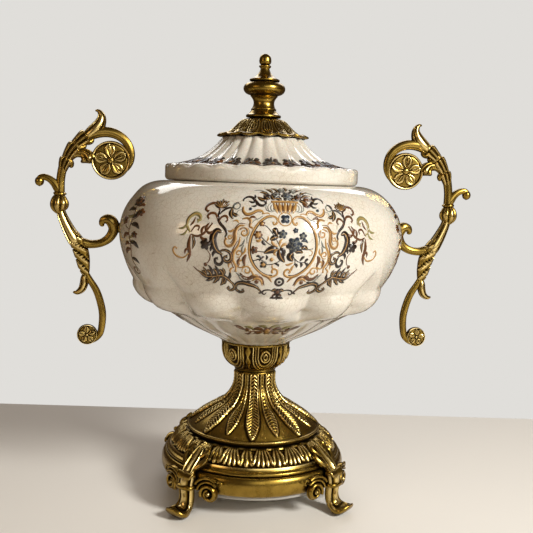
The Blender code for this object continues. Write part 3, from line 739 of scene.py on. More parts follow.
def make_stem():
    """The cast stem: eight long feathers and eight short ones that lie down a trumpet to a plain foot."""
    low, high = STEM_LOW, STEM_TOP
    edge = low + 4.8 * MM
    knee = (0.505 * DISC_RADIUS, low + 0.445 * (high - low))
    outline = contour(
        (0, high), (NECK_RADIUS - 0.5 * MM, high), (NECK_RADIUS, high - 0.5 * MM),
        (NECK_RADIUS, high - 2 * MM), (bow, knee, -0.15, 86),
        (bow, (DISC_RADIUS - 0.6 * MM, edge + 0.3 * MM), 0.045, 74),
        (DISC_RADIUS, edge - 0.3 * MM), (DISC_RADIUS - 0.1 * MM, edge - 1 * MM),
        (DISC_RADIUS - 1.2 * MM, edge - 1.4 * MM), (DISC_RADIUS - 1.5 * MM, low), (0, low))

    def feather(across, way, radius, tip, narrow, wide):
        """Height of a feather from narrow to wide that ends at the radius tip, and where it is."""
        half = narrow + (wide - narrow) * fade(radius, NECK_RADIUS, 42 * MM)
        half = half * np.clip((tip - radius) / (11 * MM), 0, 1) ** 0.55
        there = inside(across - half, 0.22 * MM) * (radius < tip)
        rolled = ridge(across - half + 0.8 * MM, 0.8 * MM)
        rib = ridge(across, 0.65 * MM)
        barbs = 0.5 + 0.5 * np.sin((way - 0.9 * across) * 2 * math.pi / (3.3 * MM))
        return there, np.maximum(np.maximum(rolled, 0.7 * rib), 0.9 * barbs)

    def relief(side, way, radius, height):
        across = np.abs(side) * math.pi * radius / FEATHERS
        between = (1 - np.abs(side)) * math.pi * radius / FEATHERS
        there, lines = feather(across, way, radius, 59.5 * MM, 3.9 * MM, 6.0 * MM)
        under, under_lines = feather(between, way, radius, 57.0 * MM, 1.9 * MM, 4.9 * MM)
        front = there * MM * (0.9 + 1.1 * lines)
        back = under * MM * (0.35 + 0.9 * under_lines) * (1 - there)
        body = fade(high - height, 1 * MM, 2.5 * MM) * (1 - fade(radius, 60 * MM, 61 * MM))
        return body * (np.maximum(front, back) - 0.7 * MM)

    # tarnish=0.08 darkens the whole stem a little: painted shade under the bowl.
    turned("stem", "stem_casting", "cast_brass", brass(), 60, refine(outline, 0.9 * MM), FEATHERS, 58,
           math.radians(-8), relief=relief, tarnish=0.08)


def make_plinth():
    """The cast plinth: fans of fluted blades on the slope, a thin bead and a big polished ring."""
    low, high = PLINTH_LOW, PLINTH_TOP
    ring_top = low + 16.8 * MM
    bead_top = ring_top + 3.6 * MM
    slope_end = bead_top + 2.5 * MM
    shelf = (SHELF_RADIUS, slope_end)
    outline = contour(
        (0, high), (DISC_RADIUS, high), (bow, shelf, 0.13, 36),
        (SHELF_RADIUS + 0.3 * MM, slope_end - 0.6 * MM), (bow, (78.4 * MM, bead_top), -0.15, 5),
        (bead, 0.5 * (SHELF_RADIUS + PLINTH_RADIUS), bead_top, ring_top, 2 * MM, 8),
        (bead, PLINTH_RADIUS, ring_top, low, 4 * MM, 26), (0, low))
    reach = math.dist((DISC_RADIUS, high), shelf)

    def blades_at(across, down, count, wide):
        """A fan of fluted blades that spreads from above the slope, with a rounded tip to each."""
        lean = across / (down + 9 * MM)
        blades = np.abs(np.cos(0.5 * math.pi * count * lean / wide))
        tips = reach * (0.97 - 0.14 * (np.abs(lean) / wide) ** 2) - 3.4 * MM * (1 - blades)
        there = inside(np.abs(lean) - wide, 0.02) * (1 - fade(down, tips - 0.4 * MM, tips + 0.4 * MM))
        return there * (0.15 + 0.85 * blades ** 0.5), there

    def relief(side, way, radius, height):
        down = np.clip(way - DISC_RADIUS, 0, reach)
        across = side * math.pi * radius / FANS
        beside = (np.abs(side) - 1) * math.pi * radius / FANS
        front, there = blades_at(across, down, 5, 0.42)
        behind, _ = blades_at(beside, down, 3, 0.30)
        tall = np.maximum(front, 0.7 * behind * (1 - there))
        on_slope = fade(down, 0, 1.5 * MM) * (1 - fade(down, 0.985 * reach, reach))
        return 2.3 * MM * on_slope * (tall - 0.60)

    turned("plinth", "plinth_casting", "cast_brass", brass(), 60, refine(outline, 0.9 * MM), FANS, 44,
           relief=relief)


def make_pad():
    """The felt pad: a thin disc with soft worn edges."""
    edge = 0.8 * MM
    outline = contour(
        (0, PAD_TOP), (PAD_RADIUS - edge, PAD_TOP), (bow, (PAD_RADIUS, PAD_TOP - edge), 0.2, 4),
        (PAD_RADIUS, PAD_LOW + edge), (bow, (PAD_RADIUS - edge, PAD_LOW), 0.2, 4), (0, PAD_LOW))
    felt = shared("pressed_felt", felt_material)
    turned("base_pad", "felt_pad", "grey_pad", felt, 50, outline, SLICES, 10)


# Scrollwork: bars, discs and leaves, each a triple of points, faces and hollows

def curve_through(rows, per):
    """A smooth curve through rows of numbers, with per steps between two rows."""
    rows = np.array(rows, dtype=float)
    held = np.vstack([2 * rows[0] - rows[1], rows, 2 * rows[-1] - rows[-2]])
    line = []
    for before, start, end, after in zip(held, held[1:], held[2:], held[3:]):
        for t in np.arange(per) / per:
            line.append(0.5 * (2 * start + (end - before) * t
                               + (2 * before - 5 * start + 4 * end - after) * t ** 2
                               + (3 * start - before - 3 * end + after) * t ** 3))
    line.append(rows[-1])
    return np.array(line)


def headings(line):
    """The direction of a flat line at each of its points, and the direction to its left."""
    heading = np.gradient(line, axis=0)
    heading = heading / np.linalg.norm(heading, axis=1)[:, None]
    return heading, np.stack([-heading[:, 1], heading[:, 0]], axis=1)


def bar(rows, relief=None, per=6, sides=24, fullness=0.8):
    """A closed bar swept in the XZ plane.

    A row is (x, z, half width in the plane, half depth along Y). relief(turn, across, way) gives
    the shares that are cut from the width and from the depth; turn is 0 on the left of the way.
    """
    line = curve_through(rows, per)
    spot = line[:, :2]
    heading, left = headings(spot)
    way = distances(spot)[:, None]
    turn = (2 * math.pi * np.arange(sides) / sides)[None, :]
    across = np.sign(np.cos(turn)) * np.abs(np.cos(turn)) ** fullness
    deep = np.sign(np.sin(turn)) * np.abs(np.sin(turn)) ** fullness
    trim, cut = relief(turn, across, way) if relief else (0, 0)
    trim = trim + np.zeros((len(line), sides))
    cut = cut + np.zeros_like(trim)
    wide = across * (1 - trim) * line[:, 2][:, None]
    thick = deep * (1 - cut) * np.maximum(line[:, 3][:, None], 0.1 * MM)
    points = np.stack([spot[:, 0][:, None] + left[:, 0][:, None] * wide, thick,
                       spot[:, 1][:, None] + left[:, 1][:, None] * wide], axis=2).reshape(-1, 3)
    faces = []
    for i in range(len(line) - 1):
        for j in range(sides):
            k = (j + 1) % sides
            faces.append((i * sides + j, i * sides + k, (i + 1) * sides + k, (i + 1) * sides + j))
    tips = []
    for end, sign in ((0, -1), (len(line) - 1, 1)):
        reach = 0.45 * line[end, 2] * sign
        tips.append((spot[end, 0] + heading[end, 0] * reach, 0, spot[end, 1] + heading[end, 1] * reach))
        pole = len(points) + len(tips) - 1
        faces += [(pole, end * sides + j, end * sides + (j + 1) % sides) for j in range(sides)]
    hollow = hollows(-np.maximum(trim * line[:, 2][:, None], cut * line[:, 3][:, None]), 3, 0.5 * MM).ravel()
    return np.vstack([points, tips]), faces, np.concatenate([hollow, [0.5, 0.5]])


def disc(centre, radius, half, relief, rings=26, turns=90):
    """A round medal that faces -Y and +Y; relief(turn, share) gives its half thickness as a share."""
    share = np.linspace(0, 1, rings + 1)[1:, None]
    turn = (2 * math.pi * np.arange(turns) / turns)[None, :]
    tall = relief(turn, share) + 0 * (turn + share)
    points = [(centre[0], -half * float(relief(np.zeros((1, 1)), np.zeros((1, 1)))[0, 0]), centre[1])]
    layers = [(i, -1) for i in range(rings)] + [(i, 1) for i in reversed(range(rings))]
    worn = hollows(half * tall, 3, 0.3 * MM)
    hollow = [0.5]
    for i, face in layers:
        for j in range(turns):
            reach = radius * share[i, 0]
            points.append((centre[0] + reach * math.cos(turn[0, j]), face * half * tall[i, j],
                           centre[1] + reach * math.sin(turn[0, j])))
            hollow.append(worn[i, j])
    points.append((centre[0], -points[0][1], centre[1]))
    hollow.append(0.5)
    last = len(points) - 1
    faces = []
    for j in range(turns):
        k = (j + 1) % turns
        faces.append((0, 1 + j, 1 + k))
        faces.append((last, last - turns + k, last - turns + j))
        for i in range(len(layers) - 1):
            a = 1 + i * turns
            faces.append((a + j, a + turns + j, a + turns + k, a + k))
    return np.array(points), faces, np.array(hollow)


def moved(shape, matrix):
    """A copy of a shape at another place."""
    points, faces, hollow = shape
    turn = np.array(matrix.to_3x3())
    return points @ turn.T + np.array(matrix.translation), faces, hollow


def casting(name, shapes):
    """One object from several shapes that run into each other, as they are cast."""
    points, faces, hollow = [], [], []
    for some, joined, depths in shapes:
        start = sum(len(part) for part in points)
        points.append(some)
        faces += [tuple(start + i for i in face) for face in joined]
        hollow.append(depths)
    mesh = mesh_of(name, np.vstack(points), faces)
    note(mesh, "hollow", np.concatenate(hollow))
    work = bmesh.new()
    work.from_mesh(mesh)
    bmesh.ops.remove_doubles(work, verts=work.verts, dist=0.2 * MERGE)
    bmesh.ops.recalc_face_normals(work, faces=work.faces)
    work.to_mesh(mesh)
    work.free()
    mesh.materials.append(brass())
    return crisp(new_object(name, mesh), 55)


def cast(node, shapes, where):
    """Move shapes to their place and put their casting in its node's place."""
    place(casting(node + "_casting", [moved(shape, where) for shape in shapes]), "cast_brass", node)


def rimmed(turn, across, way):
    """A smooth strap with a fine groove inside each edge."""
    return 0, 0.10 * ridge(np.abs(across) - 0.62, 0.16) + 0.03 * (np.abs(across) < 0.62)


def fluted(turn, across, way):
    """Leaf flesh: flutes along the way."""
    return 0, 0.38 * (1 - np.abs(np.cos(2.5 * math.pi * across)))


def draped(turn, across, way):
    """A leaf in slanted folds, each with a rolled edge over a dark gap, notched on the right."""
    step = (way / (10.2 * MM) + 0.75 * across) % 1.0
    fall = ridge(step - 0.06, 0.13) + 0.45 * fade(step, 0.95, 0.35)
    return 0.30 * ridge(step - 0.06, 0.16) * (across < 0), 0.34 * np.clip(fall, 0, 1)


def budded(turn, across, way):
    """A bud of seven long petals."""
    petal = np.abs(np.cos(3.5 * turn)) ** 0.6
    return 0.22 * (1 - petal), 0.22 * (1 - petal)


def lobed(turn, across, way):
    """A broad leaf: a raised middle and two rolled edges with deep creases between."""
    return 0, 0.45 * (1 - np.abs(np.cos(1.5 * math.pi * across)) ** 0.7)


def flower_face(petals, ribs):
    """Relief of a flower medal: a plain ground with a fine rim, ribbed petals in outline, a button."""
    def relief(turn, share):
        local = ((turn + 0.4) * petals / (2 * math.pi)) % 1.0 * 2 - 1
        reach = np.clip((share - 0.13) / 0.70, 0, 1)
        width = 0.90 * np.sin(math.pi * reach ** 0.9) ** 0.6 + 1e-6
        place_in = np.abs(local) / width
        petal = inside(place_in - 1, 0.10) * (reach > 0) * (reach < 1)
        moat = ridge(place_in - 1.12, 0.16) * (reach > 0.05) * (reach < 1)
        body = 0.80 + 0.14 * np.abs(np.cos(0.5 * math.pi * ribs * local / width))
        body = body - 0.16 * ridge(local / width, 0.12)
        tall = np.maximum(0.66 - 0.16 * moat, petal * body)
        tall = np.maximum(tall, 0.66 + 0.20 * ridge(share - 0.93, 0.06)) - 0.14 * ridge(share - 0.85, 0.03)
        tall = np.maximum(tall, 0.5 + 0.5 * np.sqrt(ridge(share, 0.19)))
        return tall * (1 - 0.45 * fade(share, 0.96, 1.0))
    return relief


def spiral(centre, start, end, radius_start, radius_end, thick_start, thick_end, count):
    """Rows of a scroll about its centre; angles in degrees from +X."""
    rows = []
    for i in range(count + 1):
        t = i / count
        turn = math.radians(start + (end - start) * t)
        reach = radius_start + (radius_end - radius_start) * t
        thick = thick_start + (thick_end - thick_start) * t
        rows.append((centre[0] + reach * math.cos(turn), centre[1] + reach * math.sin(turn), thick, thick))
    return rows


def handle_shapes():
    """The parts of the right-hand handle. Rows are thousandths of its size, from its boss on the bowl."""
    unit = HANDLE_SIZE / 1000

    def at(rows, depth=1.0):
        return [(x * unit, z * unit, wide * unit, wide * depth * unit) for x, z, wide in rows]

    eye = (110, 787)
    button = (360, -1283)
    band = [(688, 380, 54), (680, 560, 50), (645, 725, 54), (565, 885, 62), (450, 1010, 68),
        (325, 1085, 66)]
    band += [row[:3] for row in spiral(eye, 76, 238, 335, 165, 62, 30, 8)]
    lower = [(400, -1345, 18), (310, -1358, 30), (235, -1305, 38), (198, -1225, 40), (184, -1045, 43),
        (212, -890, 43), (262, -750, 41), (335, -630, 37), (400, -520, 34)]
    drape = [(372, -600, 22), (388, -545, 48), (406, -470, 70), (428, -345, 86), (466, -225, 90),
        (516, -135, 80), (556, -75, 66), (586, -30, 50)]
    upper = [(470, -240, 60), (520, -150, 82), (578, -50, 74), (628, 50, 64), (664, 135, 56),
        (686, 220, 50)]
    knot = [(686, 160, 52), (689, 176, 68), (692, 200, 92), (694, 232, 107), (695, 270, 110),
        (695, 310, 98), (692, 345, 78), (690, 366, 60)]
    cuff = [(689, 362, 58), (689, 374, 74), (688, 390, 74), (687, 404, 54)]
    tiers = [[(662, 640, 46), (652, 686, 58), (640, 726, 70), (624, 762, 80), (612, 784, 70),
        (606, 796, 44)], [(640, 740, 50), (606, 806, 64), (574, 862, 76), (536, 916, 88), (516, 940, 80),
        (506, 950, 50)], [(556, 900, 54), (510, 952, 68), (462, 998, 80), (412, 1040, 92), (388, 1058, 84),
        (376, 1066, 52)]]
    calyx = [(640, 730, 40), (585, 800, 48), (520, 852, 52), (450, 862, 60), (402, 842, 78), (376, 812, 94),
        (364, 786, 96), (356, 768, 70), (350, 752, 30)]
    plume = [(395, 1045, 60), (338, 1092, 76), (276, 1150, 80), (236, 1215, 68), (222, 1278, 50),
        (236, 1326, 34), (264, 1352, 21), (292, 1352, 10)]
    spur = [(692, 400, 50), (716, 446, 52), (758, 506, 46), (816, 552, 40), (878, 568, 37), (916, 552, 36),
        (922, 522, 30)]
    berry = [(921, 572, 16), (921, 560, 36), (921, 542, 48), (921, 518, 53), (921, 494, 48), (921, 476, 36),
        (921, 464, 16)]
    curls = [[(560, 935, 30), (510, 935, 44), (462, 922, 40), (424, 930, 30), (410, 955, 22),
        (424, 974, 14)], [(470, 1020, 30), (418, 1012, 44), (372, 992, 40), (336, 1000, 30),
        (326, 1024, 22), (340, 1042, 14)], [(640, 800, 30), (600, 772, 42), (566, 738, 36), (560, 706, 24),
        (576, 692, 14)]]
    arm = [(520, -150, 40), (430, -185, 56), (330, -202, 50), (215, -185, 48), (120, -125, 54),
        (68, -30, 62), (78, 50, 70), (128, 92, 66), (185, 82, 50), (205, 42, 34), (188, 18, 18)]
    tongue = [(378, -540, 20), (398, -600, 44), (404, -670, 50), (428, -738, 44), (480, -778, 30),
        (528, -778, 12)]
    boss = [(-30, 0, 56), (-5, 0, 60), (12, 0, 60), (20, 0, 48), (60, 0, 50)]
    shapes = [bar(at(band), rimmed, 10), bar(at(lower), rimmed, 8), bar(at(drape), draped, 14),
              bar(at(upper), fluted), bar(at(knot), budded, 5, 56, 1), bar(at(cuff), None, 4, 24, 1),
              bar(at(berry), None, 3, 24, 1), bar(at(calyx), budded, 8, 48, 1), bar(at(plume), fluted),
              bar(at(spur), rimmed), bar(at(arm), rimmed, 7), bar(at(tongue), fluted),
              bar(at(boss), None, 4, 24, 1)]
    shapes += [bar(at(tier, 1.12), lobed, 6, 36) for tier in tiers]
    shapes += [bar(at(curl, 1.5), rimmed) for curl in curls]
    for (x, z), radius, half, ribs, rings, turns in ((eye, 17, 4.25, 3, 34, 130), (button, 9, 4, 1, 22, 80)):
        shapes.append(disc((x * unit, z * unit), radius * MM, half * MM, flower_face(5, ribs), rings, turns))
    return shapes


def make_handles():
    """Both scroll handles, each one casting: the left is the right turned half round."""
    for name, turn in (("handle_right", 0), ("handle_left", math.pi)):
        cast(name, handle_shapes(), Matrix.Rotation(turn, 4, "Z") @ Matrix.Translation(HANDLE_ROOT))


def ridged(turn, across, way):
    """A rib down the outer side of a leg, between two flutes."""
    front = np.minimum(turn, 2 * math.pi - turn)
    return 0.42 * (1 - np.maximum(ridge(front, 0.40), ridge(front - 1.25, 0.45))) * (front < 1.5), 0


def scooped(turn, across, way):
    """A leaf scooped out along its upper side, with a raised rim."""
    front = np.minimum(turn, 2 * math.pi - turn)
    return 0.75 * ridge(front, 1.15), 0


def folded(turn, across, way):
    """A leaf folded along its middle, with two rolled edges."""
    front = np.minimum(turn, 2 * math.pi - turn)
    rolls = np.maximum(ridge(front - 1.05, 0.36), 0.8 * ridge(front, 0.26))
    return 0.62 * (1 - rolls) * (front < 1.3), 0


def domed(turn, share):
    """A round button."""
    return np.sqrt(1 - 0.9 * share ** 2)


def dished(turn, share):
    """A plate that is thinner at its rim."""
    return 1 - 0.3 * share


def standing(across, out, up, spot):
    """The place of a shape whose own X, Y and Z axes point these ways, at spot."""
    where = Matrix((across, out, up)).transposed().to_4x4()
    where.translation = spot
    return where


def foot_shapes():
    """The parts of a foot on the +X side, its leg in the XZ plane. Rows are millimetres."""
    def at(rows):
        return [tuple(value * MM for value in row) for row in rows]

    leg = [(87, 38.5, 2.6, 5.6), (88.8, 34, 4.8, 7.6), (89.8, 28, 5.7, 7.8), (89.6, 22, 5.6, 7),
        (89.2, 16, 5.4, 6.6), (90.2, 10.6, 5.2, 7), (92.6, 6.8, 4.8, 7.8), (96, 5.2, 4.4, 8.2)]
    node = [(89.8, 26.9, 5.8, 7.8), (89.8, 26.2, 6.8, 8.7), (89.8, 25, 7.1, 9), (89.8, 23.8, 6.8, 8.7),
        (89.8, 23.1, 5.8, 7.8)]
    toe = [(91.4, 9.8, 3.4, 7), (93.8, 6.4, 4.4, 8.4), (97.2, 4.8, 4.4, 9.8), (101, 4.9, 3.6, 10.6),
        (104.4, 6.6, 2.7, 9.6), (106.8, 8.8, 1.8, 7), (108.2, 10.4, 0.7, 2.8)]
    leaf = [(70, 53.6, 0.8, 1.2), (71.4, 53.4, 2, 3), (74, 51, 2.7, 4.4), (77.6, 47.4, 3.4, 5.2),
        (81.6, 43.6, 3.9, 5.6), (85.6, 39.6, 4.2, 5.4), (88.6, 35, 4.2, 5.2), (90.4, 30.8, 3, 4.4)]
    curled = [(88.6, 36, 2, 7.6), (91, 36.6, 2.4, 8.6), (93, 35, 2.2, 8.2), (93.6, 32.6, 1.6, 6.8),
        (92.6, 31, 0.8, 4.8)]
    shapes = [bar(at(rows), relief, per, sides, 0.75) for rows, relief, per, sides in (
        (leg, ridged, 5, 24), (node, None, 4, 24), (toe, scooped, 6, 32), (leaf, folded, 6, 40),
        (curled, scooped, 5, 32))]
    lobe = [(0.4, -7, 1.2, 1.4), (3.4, -3.6, 2.3, 2), (6.8, 0.2, 2.6, 2.2), (9.2, 4.2, 2.2, 2),
        (9.4, 8, 1.6, 1.7), (7.4, 9.8, 1.1, 1.3), (5.8, 8.4, 0.7, 0.9)]
    lean = math.atan2(0.667, 0.745)
    for x, z, grown in ((76.2, 49.6, 0.8), (82.6, 43.0, 1.0)):
        for side in (-1, 1):
            where = standing((0, side, 0), (math.cos(lean), 0, math.sin(lean)),
                             (-math.sin(lean), 0, math.cos(lean)), (x * MM, side * 1.5 * MM, z * MM))
            sized = [tuple(grown * value for value in row) for row in lobe]
            shapes.append(moved(bar(at(sized), fluted, 4, 20), where))
    scroll = spiral((0, 0), 205, -260, 7.4, 2.9, 1.75, 1.35, 22)
    scroll = [(x, z, wide, 3.4 - 0.03 * i) for i, (x, z, wide, _) in enumerate(scroll)]
    inner_strap = [(x, z, 1.25, 2.7) for x, z, _, _ in spiral((0, 0), 168, 48, 10.6, 10.0, 1, 1, 8)]
    outer_strap = [(x, z, 1.35, 2.5) for x, z, _, _ in spiral((0, 0), 152, 62, 14.2, 12.6, 1, 1, 8)]
    curl = spiral((9.6, 9.2), 140, -70, 2.6, 1.6, 1.1, 0.7, 6)
    for side in (-1, 1):
        spread = side * math.asin(20 * MM / PLINTH_RADIUS)
        out = Vector((math.cos(spread), math.sin(spread), 0))
        away = side * Vector((-math.sin(spread), math.cos(spread), 0))
        where = standing(away, out, (0, 0, 1), out * (PLINTH_RADIUS + 3.2 * MM) + Vector((0, 0, 22 * MM)))
        for rows, relief in ((scroll, None), (inner_strap, rimmed), (outer_strap, rimmed), (curl, None)):
            shapes.append(moved(bar(at(rows), relief, 3, 16), where))
        shapes.append(moved(disc((0, 0), 2.3 * MM, 4.4 * MM, domed, 8, 20), where))
        behind = Matrix.Translation(-1.2 * MM * out) @ where
        shapes.append(moved(disc((0, 0), 7.6 * MM, 1.2 * MM, dished, 4, 32), behind))
    return shapes


def make_feet():
    """The four scrolled feet under the corners of the plinth."""
    for name, turn in (("foot_front_right", -45), ("foot_back_right", 45),
                       ("foot_back_left", 135), ("foot_front_left", 225)):
        cast(name, foot_shapes(), Matrix.Rotation(math.radians(turn), 4, "Z"))


# The transfer print. Strokes are drawn on a flat sheet in millimetres, across from its middle and
# up from the belly line, then laid on the glaze. A group is the ink and the kind of its strokes and
# a row for each: its width and its numbers. Those are across and up for every point of a leaf, vine or
# band, and for the middle of the other kinds. Then a ring has its radius, a curl its radius and the
# degrees where it starts and through which it winds, and petals their count and the first one's degrees.

INKS = {"black": ("#170E08", "#2E1D11"), "brown": ("#43250B", "#6A3F19"), "ochre": ("#96692F", "#B48E54"),
        "blue": ("#1B212D", "#353D4A"), "olive": ("#6F673A", "#938A58"), "grey": ("#56574F", "#7C7C72")}

